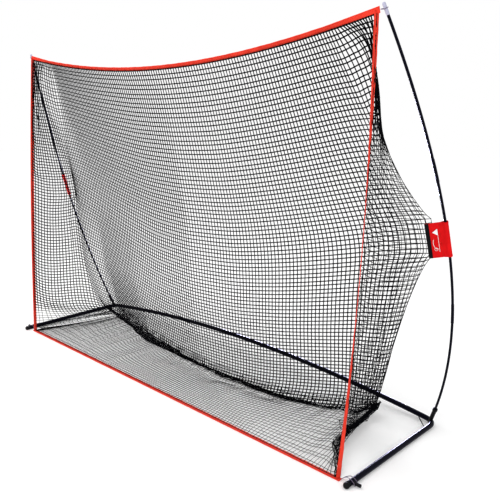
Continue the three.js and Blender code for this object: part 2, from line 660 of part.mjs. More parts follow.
function addLoops(side, hand) {
  const centre = ball(side).lerp(corner(side), PEG_SETBACK / BASE_DEPTH);
  const peg = (x, depth, z) => new THREE.Vector3(centre.x + side * x, centre.y + depth, centre.z + z);
  const wrap = PEG_R + LOOP_R + 4 * SMALL_GAP;
  const diagonal = wrap * Math.SQRT1_2;
  const eye = side * (EDGE_X + BINDING_WIDTH / 2 + LOOP_R + SMALL_GAP);
  const bottom = [
    new THREE.Vector3(eye, FRONT_Y + MOUTH_DEPTH, 7),
    peg(-30, -4, 12),
    peg(-6, -wrap + 1, TUBE_R + LOOP_R + 4),
    peg(18, -wrap, 8),
    peg(21, -wrap, -1),
    peg(22, -diagonal, -diagonal),
    peg(22, 0, -wrap),
    peg(22, diagonal, -diagonal),
    peg(21, wrap, -1),
    peg(18, wrap, 8),
    peg(-6, wrap - 1, TUBE_R + LOOP_R + 4),
    peg(-30, 4, 12),
  ];
  addPart(`corner_loop_bottom_${hand}`, ringAlong(bottom), ELASTIC);

  const pole = poleRoute(side);
  const hold = pole.getPointAt(1 - 26 / pole.getLength());
  const axis = pole.getTangentAt(1 - 26 / pole.getLength());
  const inward = new THREE.Vector3(-side, 0, 0).addScaledVector(axis, side * axis.x).normalize();
  const across = new THREE.Vector3().crossVectors(axis, inward);
  const round = TIP_R + LOOP_R + 1;
  const top = [];
  for (let i = 0; i <= 6; i += 1) {
    const angle = Math.PI * (-0.6 + 1.2 * (i / 6)) + Math.PI;
    top.push(hold.clone()
      .addScaledVector(inward, round * Math.cos(angle))
      .addScaledVector(across, round * Math.sin(angle)));
  }
  const bindingEnd = EDGE_X + BINDING_WIDTH / 2 + LOOP_R + 1.5;
  top.push(place(side * bindingEnd, TOP_DEPTH + 2, TOP_EDGE_Z + 4));
  addPart(`corner_loop_top_${hand}`, ringAlong(top), ELASTIC);
}

addBase();
addNet();
addBindings();
for (const [side, hand] of [[-1, 'left'], [1, 'right']]) {
  addPole(side, hand);
  addSleeve(side, hand);
  addLoops(side, hand);
}

export default product;
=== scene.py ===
"""The looks of a free-standing golf practice net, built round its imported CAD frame. Metres, +Z up."""

import math

import bpy
import numpy as np
from mathutils import Matrix, Vector

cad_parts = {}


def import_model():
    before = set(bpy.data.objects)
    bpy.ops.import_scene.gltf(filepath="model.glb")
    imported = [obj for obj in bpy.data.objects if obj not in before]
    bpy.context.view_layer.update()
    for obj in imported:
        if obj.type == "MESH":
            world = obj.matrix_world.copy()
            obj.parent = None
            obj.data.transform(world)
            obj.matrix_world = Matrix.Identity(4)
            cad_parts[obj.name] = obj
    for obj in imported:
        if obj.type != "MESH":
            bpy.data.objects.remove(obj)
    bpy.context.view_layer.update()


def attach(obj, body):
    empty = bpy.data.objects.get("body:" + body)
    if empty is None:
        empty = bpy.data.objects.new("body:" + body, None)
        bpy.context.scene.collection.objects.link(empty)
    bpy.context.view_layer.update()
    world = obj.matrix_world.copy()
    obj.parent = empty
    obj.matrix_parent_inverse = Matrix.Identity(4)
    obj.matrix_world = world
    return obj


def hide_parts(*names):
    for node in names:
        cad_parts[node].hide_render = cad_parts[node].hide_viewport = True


# ---- sizes that the looks share with the CAD part ----------------------------------------

BASE_WIDTH = 3.050
BASE_DEPTH = 0.834
FRONT_SPREAD = 2.994
TUBE_R = 0.014
ELBOW_R = 0.062
ELBOW_LEG = 0.150
CROSSBAR_RISE = 0.106
CROSSBAR_JOINT = 0.480
BALL_R = 0.0155
BALL_SKIRT = 0.017
PEG_R = 0.0085
PEG_LENGTH = 0.036
PEG_SETBACK = 0.040
BRACE_R = 0.0025
BRACE_REACH = 0.096
SOCKET_R = 0.011
SOCKET_RIM_R = 0.013
SOCKET_LENGTH = 0.092
SOCKET_SINK = -0.014
POLE_R = 0.00625
FERRULE_R = 0.0074
FERRULE_LENGTH = 0.110
TIP_R = 0.0076
TIP_LENGTH = 0.056
BUTTON_R = 0.0036
BUTTON_HOLE_R = 0.0044
BUTTON_PROUD = 0.004
BUTTON_INSET = 0.030
POLE_ROUTE = [(1.507, 0.816, 0.030), (1.768, 0.640, 0.690), (1.672, 0.412, 1.400), (1.457, 0.152, 2.096)]
FRONT_Y = -(BASE_DEPTH + TUBE_R - BALL_R) / 2

EDGE_X = 1.430
TOP_Z = 2.066
TOP_SAG = 0.142
TOP_DEPTH = 0.150
MOUTH_DEPTH = 0.032
SIDE_BOW = 0.026
BINDING_WIDTH = 0.028
BINDING_THICK = 0.0026
LOOP_R = 0.0016
SLEEVE_LOW = 1.022
SLEEVE_HIGH = 1.190
SLEEVE_REACH = 0.092
SLEEVE_BORE = 0.0095
SLEEVE_SKIN = 0.0007
SLEEVE_WRAP_R = SLEEVE_BORE + 0.0018
STRIP_WIDTH = 0.018

SIDES = [(-1, "left"), (1, "right")]
SEED = 7
rng = np.random.default_rng(SEED)


def place(x, depth, z):
    return np.array([x, FRONT_Y + depth, z], float)


def unit(v):
    v = np.asarray(v, float)
    return v / np.linalg.norm(v, axis=-1, keepdims=True)


def curved(start, turn, end, t):
    """A quadratic curve from start to end that heads for turn."""
    return (1 - t)**2 * start + 2 * t * (1 - t) * turn + t * t * end


# ---- mesh helpers ------------------------------------------------------------------------


def mesh_piece(name, verts, faces, material, smooth=True, uvs=None):
    """A new mesh object. verts is an array of points, faces a list or an array of corner numbers."""
    mesh = bpy.data.meshes.new(name)
    mesh.from_pydata(np.asarray(verts).tolist(), [], [list(map(int, f)) for f in faces])
    mesh.materials.append(material)
    if smooth:
        mesh.polygons.foreach_set("use_smooth", [True] * len(mesh.polygons))
    if uvs is not None:
        corners = np.zeros(len(mesh.loops), np.int32)
        mesh.loops.foreach_get("vertex_index", corners)
        layer = mesh.uv_layers.new(name="UVMap")
        layer.data.foreach_set("uv", np.asarray(uvs, np.float32)[corners].ravel())
    piece = bpy.data.objects.new(name, mesh)
    bpy.context.scene.collection.objects.link(piece)
    return piece


def joined(parts):
    """Several (verts, faces) lumps as one."""
    verts, faces, start = [], [], 0
    for v, f in parts:
        verts.append(np.asarray(v))
        faces.extend([tuple(i + start for i in face) for face in f])
        start += len(v)
    return np.concatenate(verts), faces


def frames_along(path, up=(0, 0, 1)):
    """Tangent, side and up directions that turn smoothly along a path."""
    tangents = unit(np.gradient(path, axis=0))
    sides = np.zeros_like(path)
    side = np.cross(tangents[0], np.asarray(up, float))
    for i, tangent in enumerate(tangents):
        side = side - tangent * side.dot(tangent)
        side = side / np.linalg.norm(side)
        sides[i] = side
    return tangents, sides, np.cross(sides, tangents)


def skin_faces(rings, count):
    """The faces of a skin over rings of equally many points, closed at both ends."""
    faces = []
    for i in range(rings - 1):
        for k in range(count):
            a, b = i * count + k, i * count + (k + 1) % count
            faces.append((a, b, b + count, a + count))
    faces.append(tuple(range(count - 1, -1, -1)))
    faces.append(tuple(range((rings - 1) * count, rings * count)))
    return faces


def tube(path, radius, count=24):
    """A round tube along a path; radius is a number or one for each point."""
    path = np.asarray(path, float)
    radii = np.broadcast_to(np.asarray(radius, float), (len(path),))
    _, side, top = frames_along(path)
    angle = np.arange(count) * 2 * math.pi / count
    ring = side[:, None] * np.cos(angle)[None, :, None] + top[:, None] * np.sin(angle)[None, :, None]
    verts = (path[:, None] + ring * radii[:, None, None]).reshape(-1, 3)
    return verts, skin_faces(len(path), count)


def turned(origin, axis, outline, count=40):
    """A turned piece: outline is a list of (radius, distance along the axis)."""
    origin, axis = np.asarray(origin, float), unit(axis)
    path = [origin + axis * s for _, s in outline]
    side = np.cross(axis, (0, 0, 1) if abs(axis[2]) < 0.9 else (0, 1, 0))
    side = unit(side)
    top = np.cross(side, axis)
    angle = np.arange(count) * 2 * math.pi / count
    ring = side * np.cos(angle)[:, None] + top * np.sin(angle)[:, None]
    verts = np.concatenate([p + ring * max(r, 1e-5) for p, (r, _) in zip(path, outline)])
    return verts, skin_faces(len(outline), count)


def softened(outline, radius=0.0012, steps=3):
    """Rounds the corners of a turned outline."""
    points = [np.array(p, float) for p in outline]
    out = [points[0]]
    for before, at, after in zip(points, points[1:], points[2:]):
        to_before, to_after = before - at, after - at
        reach = min(radius, np.linalg.norm(to_before) * 0.45, np.linalg.norm(to_after) * 0.45)
        start = at + unit(to_before) * reach
        end = at + unit(to_after) * reach
        for k in range(steps + 1):
            out.append(curved(start, at, end, k / steps))
    out.append(points[-1])
    return [tuple(p) for p in out]


def lengths_along(path):
    return np.concatenate([[0], np.cumsum(np.linalg.norm(np.diff(path, axis=0), axis=1))])


def sampled(values, at, wanted):
    """Points or directions known at some lengths along a path, read off at others."""
    return np.stack([np.interp(wanted, at, values[:, k]) for k in range(3)], -1)


def part_of(path, start, end, count):
    """Evenly spaced points of a path from one length along it to another."""
    return sampled(path, lengths_along(path), np.linspace(start, end, count))


def catmull(points, t):
    """A smooth curve through the points; t from 0 at the first to 1 at the last."""
    pts = np.asarray(points, float)
    x = np.clip(t, 0, 1) * (len(pts) - 1)
    i = np.minimum(x.astype(int), len(pts) - 2)
    f = (x - i)[..., None]
    a, b, c, d = pts[np.maximum(i - 1, 0)], pts[i], pts[i + 1], pts[np.minimum(i + 2, len(pts) - 1)]
    return 0.5 * (2 * b + (c - a) * f + (2 * a - 5 * b + 4 * c - d) * f**2 + (3 * b - a - 3 * c + d) * f**3)


# ---- materials ---------------------------------------------------------------------------


def principled(name, color, roughness, sockets=None):
    material = bpy.data.materials.new(name)
    material.use_nodes = True
    shader = material.node_tree.nodes["Principled BSDF"]
    shader.inputs["Base Color"].default_value = (*color, 1)
    shader.inputs["Roughness"].default_value = roughness
    for label, value in (sockets or {}).items():
        shader.inputs[label].default_value = value
    return material, material.node_tree, shader


def add_bump(tree, shader, height, strength, distance):
    bump = tree.nodes.new("ShaderNodeBump")
    bump.inputs["Strength"].default_value = strength
    bump.inputs["Distance"].default_value = distance
    tree.links.new(height, bump.inputs["Height"])
    tree.links.new(bump.outputs["Normal"], shader.inputs["Normal"])


def noise(tree, source, scale, detail=3.0):
    coords = tree.nodes.new("ShaderNodeTexCoord")
    texture = tree.nodes.new("ShaderNodeTexNoise")
    texture.inputs["Scale"].default_value = scale
    texture.inputs["Detail"].default_value = detail
    tree.links.new(coords.outputs[source], texture.inputs["Vector"])
    return texture.outputs["Fac"]


def ramp(tree, factor, stops):
    node = tree.nodes.new("ShaderNodeValToRGB")
    elements = node.color_ramp.elements
    elements[0].position, elements[0].color = stops[0][0], (*stops[0][1], 1)
    elements[1].position, elements[1].color = stops[-1][0], (*stops[-1][1], 1)
    for at, color in stops[1:-1]:
        element = elements.new(at)
        element.color = (*color, 1)
    tree.links.new(factor, node.inputs["Fac"])
    return node.outputs["Color"]


def shade_by(tree, shader, factor, dark, light):
    """The colour wanders between two tones."""
    color = ramp(tree, factor, [(0.3, dark), (0.7, light)])
    tree.links.new(color, shader.inputs["Base Color"])


def grained(name, color, roughness, grain, sockets=None):
    """A material with a fine grain, given as (noise scale, noise detail, bump strength, bump depth)."""
    material, tree, shader = principled(name, color, roughness, sockets)
    scale, detail, strength, depth = grain
    add_bump(tree, shader, noise(tree, "Object", scale, detail), strength, depth)
    return material


def moulded(name, color, roughness, specular=0.5):
    return grained(name, color, roughness, (1400, 2.0, 0.15, 0.0003), {"Specular IOR Level": specular})


def webbing(name, dark, light):
    """Woven tape: fine ribs across it and rows of raised loops along it."""
    material, tree, shader = principled(name, light, 0.80, {"Specular IOR Level": 0.15})
    coords = tree.nodes.new("ShaderNodeTexCoord")
    ribs = wave(tree, coords, "X", 420)
    rows = wave(tree, coords, "Y", 300)
    weave = tree.nodes.new("ShaderNodeMath")
    weave.operation = "MULTIPLY"
    tree.links.new(ribs, weave.inputs[0])
    tree.links.new(rows, weave.inputs[1])
    add_bump(tree, shader, weave.outputs[0], 0.55, 0.0006)
    shade_by(tree, shader, noise(tree, "Object", 16, 4.0), dark, light)
    return material


def wave(tree, coords, direction, scale):
    texture = tree.nodes.new("ShaderNodeTexWave")
    texture.bands_direction = direction
    texture.inputs["Scale"].default_value = scale
    texture.inputs["Distortion"].default_value = 0.4
    tree.links.new(coords.outputs["UV"], texture.inputs["Vector"])
    return texture.outputs["Fac"]


BLUE_BLACK = (0.003, 0.003, 0.010)
POWDER = grained("powder_coat", BLUE_BLACK, 0.22, (900, 1.0, 0.12, 0.0004),
                 {"Specular IOR Level": 0.11, "Specular Tint": (0.80, 0.80, 1.0, 1)})
GLASS = grained("fibreglass", BLUE_BLACK, 0.24, (500, 2.0, 0.08, 0.0004),
                {"Specular IOR Level": 0.12, "Specular Tint": (0.82, 0.84, 1.0, 1)})
BLACK = moulded("black_plastic", (0.007, 0.007, 0.009), 0.45, 0.2)
PALE = moulded("pale_plastic", (0.50, 0.50, 0.62), 0.45)
STEEL = grained("bright_steel", (0.62, 0.63, 0.65), 0.25, (700, 2.0, 0.05, 0.0003), {"Metallic": 1.0})
RED_TAPE = webbing("red_webbing", (0.80, 0.066, 0.038), (0.92, 0.092, 0.054))
RED_CLOTH = webbing("red_fabric", (0.68, 0.009, 0.012), (0.80, 0.013, 0.016))
BLACK_TAPE = webbing("black_webbing", (0.007, 0.007, 0.009), (0.014, 0.014, 0.016))
RED_THREAD = moulded("red_thread", (0.52, 0.020, 0.012), 0.7)
WHITE_PRINT = moulded("white_print", (0.86, 0.86, 0.86), 0.55)
HOLE = moulded("hole_shadow", (0.002, 0.002, 0.003), 0.9)
NET = grained("netting", (0.006, 0.006, 0.008), 0.85, (1600, 2.0, 0.5, 0.0005), {"Specular IOR Level": 0.0})
ELASTIC = grained("elastic_cord", (0.20, 0.16, 0.23), 0.75, (2200, 1.0, 0.5, 0.0004), {"Sheen Weight": 0.3})


def finished(piece, body, slot, *nodes):
    """Puts a finished piece on its body, in place of its CAD solids. The slot is not used."""
    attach(piece, body)
    if nodes:
        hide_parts(*nodes)
    return piece


# ---- the base frame ----------------------------------------------------------------------

ROOT = "frame_and_net"


def crossbar_height(x):
    return TUBE_R + CROSSBAR_RISE * (1 - (2 * x / BASE_WIDTH)**2)


def crossbar_points(start, end, count=40):
    return np.array([place(x, BASE_DEPTH, crossbar_height(x)) for x in np.linspace(start, end, count)])


CROSSBAR_END = BASE_WIDTH / 2 - ELBOW_LEG


def corner(side):
    return place(side * BASE_WIDTH / 2, BASE_DEPTH, TUBE_R)


def ball(side):
    return place(side * FRONT_SPREAD / 2, 0, TUBE_R)


def arm_start(side):
    return corner(side) + (ball(side) - corner(side)) * ELBOW_LEG / BASE_DEPTH


def elbow_points(side):
    start = place(side * CROSSBAR_END, BASE_DEPTH, crossbar_height(CROSSBAR_END))
    turn = corner(side)
    bend_in = turn + unit(start - turn) * ELBOW_R
    bend_out = turn + unit(ball(side) - turn) * ELBOW_R
    t = np.linspace(0, 1, 28)[:, None]
    bend = curved(bend_in, turn, bend_out, t)
    lead = start + (bend_in - start) * np.linspace(0, 1, 10)[:-1, None]
    tail = bend_out + (arm_start(side) - bend_out) * np.linspace(0, 1, 10)[1:, None]
    return np.concatenate([lead, bend, tail])


def steel_tube(path):
    """A painted tube whose cut ends are slightly rounded, so that each joint shows as a fine line."""
    total = lengths_along(path)[-1]
    ends = np.array([0, 0.0004, 0.0012])
    at = np.concatenate([ends, np.linspace(0.003, total - 0.003, len(path)), total - ends[::-1]])
    points = sampled(path, lengths_along(path), at)
    radii = np.full(len(at), TUBE_R)
    radii[[0, -1]] = TUBE_R - 0.0012
    radii[[1, -2]] = TUBE_R - 0.0005
    return tube(points, radii, 36)


def button_frame(path, along, up=(0, 0, 1)):
    """Place, tangent, side and outward directions of a snap button at a length along a tube."""
    here = part_of(path, along - 0.002, along + 0.002, 3)
    tangent = unit(here[2] - here[0])
    side = unit(np.cross(np.asarray(up, float), tangent))
    return here[1], tangent, side, np.cross(tangent, side)


def add_button(name, frame):
    """A sprung steel pin with a domed head. A flat ring of painted shade stands for its hole: the tube isn't
    cut.
    """
    middle, tangent, side, out = frame
    dome = 0.0018
    neck = TUBE_R + BUTTON_PROUD - dome
    outline = [(BUTTON_R, TUBE_R - 0.005), (BUTTON_R, neck)]
    outline += [(BUTTON_R * math.cos(a), neck + dome * math.sin(a)) for a in np.linspace(0.2, 1.56, 7)]
    pin = mesh_piece(f"{name}_pin", *turned(middle, out, outline), STEEL)
    finished(pin, name, "bright_steel", name)
    angle = np.linspace(0, 2 * math.pi, 41)[:-1]
    verts = []
    for radius in (BUTTON_R + 0.0001, BUTTON_HOLE_R):
        across = radius * np.cos(angle)
        along = radius * np.sin(angle)
        lift = np.sqrt(TUBE_R**2 - across**2) + 0.00012
        verts.append(middle + tangent * along[:, None] + side * across[:, None] + out * lift[:, None])
    faces = [(k, (k + 1) % 40, 40 + (k + 1) % 40, 40 + k) for k in range(40)]
    # Painted shade: a near-black ring laid on the tube where the hole's dark inside would show.
    ring = mesh_piece(f"{name}_hole", np.concatenate(verts), faces, HOLE)
    finished(ring, ROOT, "black_plastic")


def add_base():
    centre = crossbar_points(-CROSSBAR_JOINT, CROSSBAR_JOINT, 60)
    piece = mesh_piece("crossbar_centre", *steel_tube(centre), POWDER)
    finished(piece, ROOT, "powder_coat", "crossbar_centre_tube")
    centre_length = lengths_along(centre)[-1]
    for side, hand in SIDES:
        outer = crossbar_points(side * CROSSBAR_JOINT, side * CROSSBAR_END, 60)
        elbow = elbow_points(side)
        arm = np.linspace(arm_start(side), ball(side), 40)
        arm = part_of(arm, 0, lengths_along(arm)[-1] - BALL_SKIRT, 40)
        tubes = [("crossbar", outer, f"crossbar_{hand}_tube"), ("elbow", elbow, f"corner_elbow_{hand}"),
                 ("arm", arm, f"side_arm_{hand}")]
        for label, path, node in tubes:
            piece = mesh_piece(f"{label}_{hand}", *steel_tube(path), POWDER)
            finished(piece, ROOT, "powder_coat", node)
        inner_at = BUTTON_INSET if side < 0 else centre_length - BUTTON_INSET
        add_button(f"snap_button_crossbar_inner_{hand}", button_frame(centre, inner_at))
        outer_length = lengths_along(outer)[-1]
        add_button(f"snap_button_crossbar_corner_{hand}", button_frame(outer, outer_length - BUTTON_INSET))
        add_button(f"snap_button_arm_{hand}", button_frame(arm, BUTTON_INSET))
        add_front_end(side, hand)
        add_corner_fittings(side, hand)


def add_front_end(side, hand):
    """The ball cap on the front of each arm, and the stub peg that the net hooks on."""
    axis = unit(ball(side) - corner(side))
    middle = ball(side)
    outline = [(TUBE_R - 0.0012, -BALL_SKIRT), (TUBE_R, -BALL_SKIRT + 0.001)]
    outline += [(TUBE_R + 0.0003, -BALL_R * 0.85)]
    outline += [(BALL_R * math.sin(a), -BALL_R * math.cos(a)) for a in np.linspace(0.62, math.pi, 26)]
    verts, faces = turned(middle, axis, outline, 48)
    verts[:, 2] = np.maximum(verts[:, 2], 0)
    piece = mesh_piece(f"ball_cap_{hand}", verts, faces, BLACK)
    finished(piece, ROOT, "black_plastic", f"front_ball_cap_{hand}")
    centre = ball(side) + (corner(side) - ball(side)) * PEG_SETBACK / BASE_DEPTH
    end = TUBE_R + PEG_LENGTH
    collar_r = PEG_R + 0.0016
    outline = [(collar_r, TUBE_R - 0.004), (collar_r, TUBE_R + 0.0016), (PEG_R, TUBE_R + 0.0024)]
    outline += [(PEG_R * 0.94, end - 0.006), (PEG_R, end - 0.004)]
    outline += [(PEG_R - 0.001, end - 0.0008), (PEG_R - 0.003, end)]
    piece = mesh_piece(f"net_peg_{hand}", *turned(centre, (side, 0, 0), softened(outline)), BLACK)
    finished(piece, ROOT, "black_plastic", f"arm_peg_{hand}")


def bezier(points, count):
    t = np.linspace(0, 1, count)[:, None]
    a, b, c, d = [np.asarray(p, float) for p in points]
    return (1 - t)**3 * a + 3 * t * (1 - t)**2 * b + 3 * t * t * (1 - t) * c + t**3 * d


def pole_points(side, count=260):
    return bezier([place(side * x, depth, z) for x, depth, z in POLE_ROUTE], count)


def add_corner_fittings(side, hand):
    """The socket that the pole stands in, and the thin brace across the corner."""
    pole = pole_points(side)
    foot = pole[0]
    axis = unit(part_of(pole, SOCKET_LENGTH / 2, SOCKET_LENGTH / 2 + 0.001, 2)[0] - foot)
    outline = [(SOCKET_R, SOCKET_SINK), (SOCKET_R, SOCKET_LENGTH - 0.020)]
    outline += [(SOCKET_RIM_R, SOCKET_LENGTH - 0.016), (SOCKET_RIM_R, SOCKET_LENGTH - 0.003)]
    outline += [(SOCKET_RIM_R - 0.002, SOCKET_LENGTH)]
    outline += [(POLE_R + 0.0014, SOCKET_LENGTH), (POLE_R + 0.0006, SOCKET_LENGTH - 0.006)]
    piece = mesh_piece(f"socket_{hand}", *turned(foot, axis, softened(outline)), BLACK)
    finished(piece, ROOT, "black_plastic", f"pole_socket_{hand}")
    inset = TUBE_R + BRACE_R * 0.5
    bar_x = BASE_WIDTH / 2 - BRACE_REACH
    on_bar = place(side * bar_x, BASE_DEPTH - inset, crossbar_height(bar_x))
    on_arm = place(side * (BASE_WIDTH / 2 - inset - 0.003), BASE_DEPTH - BRACE_REACH, TUBE_R + 0.002)
    rod = np.linspace(on_bar, on_arm, 14)
    piece = mesh_piece(f"brace_{hand}", *tube(rod, BRACE_R, 16), POWDER)
    finished(piece, ROOT, "powder_coat", f"corner_brace_{hand}")


# ---- the bent poles ----------------------------------------------------------------------


def add_pole(side, hand):
    path = pole_points(side)
    length = lengths_along(path)[-1]
    joints = [0, length / 3, 2 * length / 3, length - 0.004]
    for label, start, end in zip(("lower", "middle", "upper"), joints, joints[1:]):
        points = part_of(path, start + 0.0004, end - 0.0004, 70)
        piece = mesh_piece(f"rod_{label}_{hand}", *tube(points, POLE_R, 28), GLASS)
        finished(piece, ROOT, "fibreglass", f"pole_{label}_{hand}")
    for label, middle in zip(("low", "high"), joints[1:3]):
        points = part_of(path, middle - FERRULE_LENGTH / 2, middle + FERRULE_LENGTH / 2, 40)
        at = np.linspace(0, 1, 40)
        pinch = np.exp(-((at - 0.12) / 0.012)**2) + np.exp(-((at - 0.88) / 0.012)**2)
        radii = FERRULE_R - 0.0004 * pinch
        radii[[0, -1]] = FERRULE_R - 0.0007
        piece = mesh_piece(f"ferrule_{label}_{hand}", *tube(points, radii, 28), GLASS)
        finished(piece, ROOT, "fibreglass", f"pole_ferrule_{label}_{hand}")
    points = part_of(path, length - TIP_LENGTH + 0.002, length, 30)
    reach = TIP_LENGTH * np.linspace(1, 0, 30)
    radii = TIP_R * np.sqrt(np.clip(1 - np.clip(1 - reach / 0.007, 0, 1)**2, 0.02, 1))
    radii[0] = TIP_R - 0.0006
    radii[2:4] = TIP_R - 0.0005
    piece = mesh_piece(f"tip_cap_{hand}", *tube(points, radii, 32), PALE)
    finished(piece, ROOT, "pale_plastic", f"pole_tip_cap_{hand}")


# ---- the net's drape: one sheet of square mesh, gathered onto its four edges ---------------

NET_COLS = 158
NET_ROWS = 114
CELL = 0.0262
BACK_ROWS = 84
TURN_UP = 4
SIDE_COLS = 16
SLEEVE_ROWS = (37, 45)
SLEEVE_HOLD = [(1.566, 0.500, 1.190), (1.578, 0.520, 1.105), (1.592, 0.540, 1.025)]
HEM_HEIGHT = 0.075

# Ribs across the back from the fold to the middle, as (x, depth, height), from the top down.
BACK_RIBS = [
    [(1.424, 0.166, 2.052), (1.25, 0.172, 2.015), (0.70, 0.176, 1.953), (0.0, 0.176, 1.915)],
    [(1.400, 0.300, 1.600), (1.24, 0.322, 1.582), (0.70, 0.300, 1.540), (0.0, 0.278, 1.500)],
    [(1.570, 0.508, 1.110), (1.41, 0.500, 1.100), (0.90, 0.452, 1.060), (0.0, 0.372, 1.010)],
    [(1.400, 0.494, 0.498), (1.19, 0.526, 0.490), (0.70, 0.462, 0.475), (0.0, 0.420, 0.460)],
    [(1.322, 0.542, 0.130), (1.10, 0.584, 0.125), (0.60, 0.498, 0.115), (0.0, 0.470, 0.105)],
    [(1.250, 0.522, 0.006), (1.04, 0.562, 0.006), (0.60, 0.498, 0.006), (0.0, 0.480, 0.006)],
]
# Ribs along each side from the binding to the fold, as (x, depth), and their height.
HIGH_SIDE_RIBS = [
    ([(1.428, 0.158), (1.421, 0.170), (1.414, 0.182)], 2.030),
    ([(1.446, 0.140), (1.440, 0.215), (1.400, 0.285)], 1.600),
    ([(1.450, 0.122), (1.500, 0.300), (1.553, 0.462)], 1.105),
    ([(1.444, 0.090), (1.440, 0.300), (1.402, 0.478)], 0.520),
]
LOW_SIDE_RIBS = {
    -1: [([(1.432, 0.074), (1.405, 0.300), (1.335, 0.518)], 0.150),
         ([(1.425, 0.050), (1.385, 0.320), (1.270, 0.600)], 0.022)],
    1: [([(1.428, 0.074), (1.370, 0.300), (1.325, 0.518)], 0.150),
        ([(1.380, 0.100), (1.235, 0.320), (1.245, 0.600)], 0.022)],
}
# The foot of the back on the floor, as (x, depth).
CRUMPLE = [(-1.19, 0.70), (-0.85, 0.575), (-0.59, 0.53), (-0.365, 0.50), (-0.08, 0.47), (0.15, 0.445),
           (0.46, 0.444), (0.66, 0.449), (0.87, 0.473), (1.04, 0.535), (1.17, 0.66), (1.25, 0.74)]
# The floor net's side borders, as (depth, x).
FLOOR_SIDE = {
    -1: [(0.03, 1.420), (0.30, 1.385), (0.50, 1.310), (0.70, 1.220)],
    1: [(0.05, 1.410), (0.14, 1.350), (0.20, 1.305), (0.25, 1.260), (0.30, 1.225), (0.42, 1.235),
        (0.70, 1.245)],
}
# The drape: fall in a step squared, pull of the guides, and how twines resist being crushed.
GRAVITY = 1.2e-4
GUIDE = 0.02
CRUSHED = 0.62
CRUSH_PUSH = 0.06
RESTING = 0.005
# How many rows are bound evenly, how far down the binding they reach, and where the rest lie bunched.
BOUND_ROWS = {-1: 92, 1: 82}
BOUND_TO = {-1: 0.985, 1: 0.850}
BUNCH = {
    -1: [(1.434, 0.035, 0.040), (1.410, 0.070, 0.016), (1.405, 0.060, 0.010), (1.420, 0.038, 0.008)],
    1: [(1.447, 0.060, 0.312), (1.400, 0.140, 0.220), (1.330, 0.250, 0.140), (1.290, 0.300, 0.105),
        (1.325, 0.215, 0.085), (1.375, 0.135, 0.060), (1.422, 0.045, 0.012)],
}


def top_edge(s):
    """The gathered top edge; s from -1 at the left corner to 1 at the right."""
    return np.stack([EDGE_X * s, TOP_DEPTH + 0.014 * (1 - s * s), TOP_Z - TOP_SAG * (1 - s * s) - 0.012], -1)


def side_edge(side, rows):
    """The side edge at each row: evenly down the side binding, then bunched to the foot."""
    t = (np.minimum(rows / BOUND_ROWS[side], 1) * BOUND_TO[side])[:, None]
    top = np.array([EDGE_X, TOP_DEPTH, TOP_Z - 0.012])
    mid = np.array([EDGE_X + 2 * SIDE_BOW, (TOP_DEPTH + MOUTH_DEPTH) / 2, TOP_Z / 2])
    foot = np.array([EDGE_X, MOUTH_DEPTH, 0.006])
    bound = curved(top, mid, foot, t)
    w = np.clip((rows - BOUND_ROWS[side]) / (NET_ROWS - BOUND_ROWS[side]), 0, 1)
    return np.where(w[:, None] > 0, catmull(BUNCH[side], w), bound)


def gathered(s, crowd):
    """Spreads evenly numbered columns so that they crowd towards both ends."""
    return np.sign(s) * ((1 + crowd) * np.abs(s) - crowd * np.abs(s)**2.4)


def back_point(u, drop):
    """u from 0 at the middle to 1 at the fold; drop is how far down the middle, in metres."""
    ribs = np.array([catmull(rib[::-1], u) for rib in BACK_RIBS])
    heights = np.array([rib[-1][2] for rib in BACK_RIBS])
    x = np.interp(drop, heights[0] - heights, np.arange(len(heights)))
    return np.stack([catmull(ribs[:, k], np.array([x / (len(heights) - 1)]))[0] for k in range(len(u))])


def between_ribs(values, heights, z):
    """A value at height z, from its values at ribs that follow each other downwards."""
    out = values[0].copy()
    for k in range(len(values) - 1):
        f = np.clip((heights[k] - z) / (heights[k] - heights[k + 1]), 0, 1)
        out = np.where(z < heights[k], values[k] * (1 - f) + values[k + 1] * f, out)
    return out


def guide_depth(x, z):
    """How deep the back of the net stands at each place."""
    x = np.abs(x)
    depths = [np.interp(x, [p[0] for p in rib[::-1]], [p[1] for p in rib[::-1]]) for rib in BACK_RIBS]
    heights = [np.interp(x, [p[0] for p in rib[::-1]], [p[2] for p in rib[::-1]]) for rib in BACK_RIBS]
    return between_ribs(depths, heights, z)


def guide_side(side, depth, z):
    """How far out one side of the net stands at each place."""
    ribs = HIGH_SIDE_RIBS + LOW_SIDE_RIBS[side]
    outs = [np.interp(depth, [p[1] for p in rib], [p[0] for p in rib]) for rib, _ in ribs]
    return between_ribs(outs, [height for _, height in ribs], z)


def crumple_depth(x):
    return np.interp(x, *zip(*CRUMPLE))


def floor_row(j, point, inner, sign):
    """A row past the foot of the back: it turns up as a hem, comes down again and runs forwards."""
    k = j - BACK_ROWS
    near = crumple_depth(sign * point[:, 0])
    if k <= TURN_UP:
        depth, lift = near + 0.012, HEM_HEIGHT * k / TURN_UP
    elif k <= 2 * TURN_UP:
        depth, lift = near - 0.004, HEM_HEIGHT * (2 - k / TURN_UP)
    else:
        run = (k - 2 * TURN_UP) / (NET_ROWS - BACK_ROWS - 2 * TURN_UP)
        depth, lift = near + (MOUTH_DEPTH - near) * run, 0.0
    left = np.interp(depth, *zip(*FLOOR_SIDE[-1]))
    right = np.interp(depth, *zip(*FLOOR_SIDE[1]))
    out = inner * (np.where(sign < 0, left, right) - 0.01)
    return np.stack([out, depth, np.full(len(out), max(lift, 0.005))], -1)


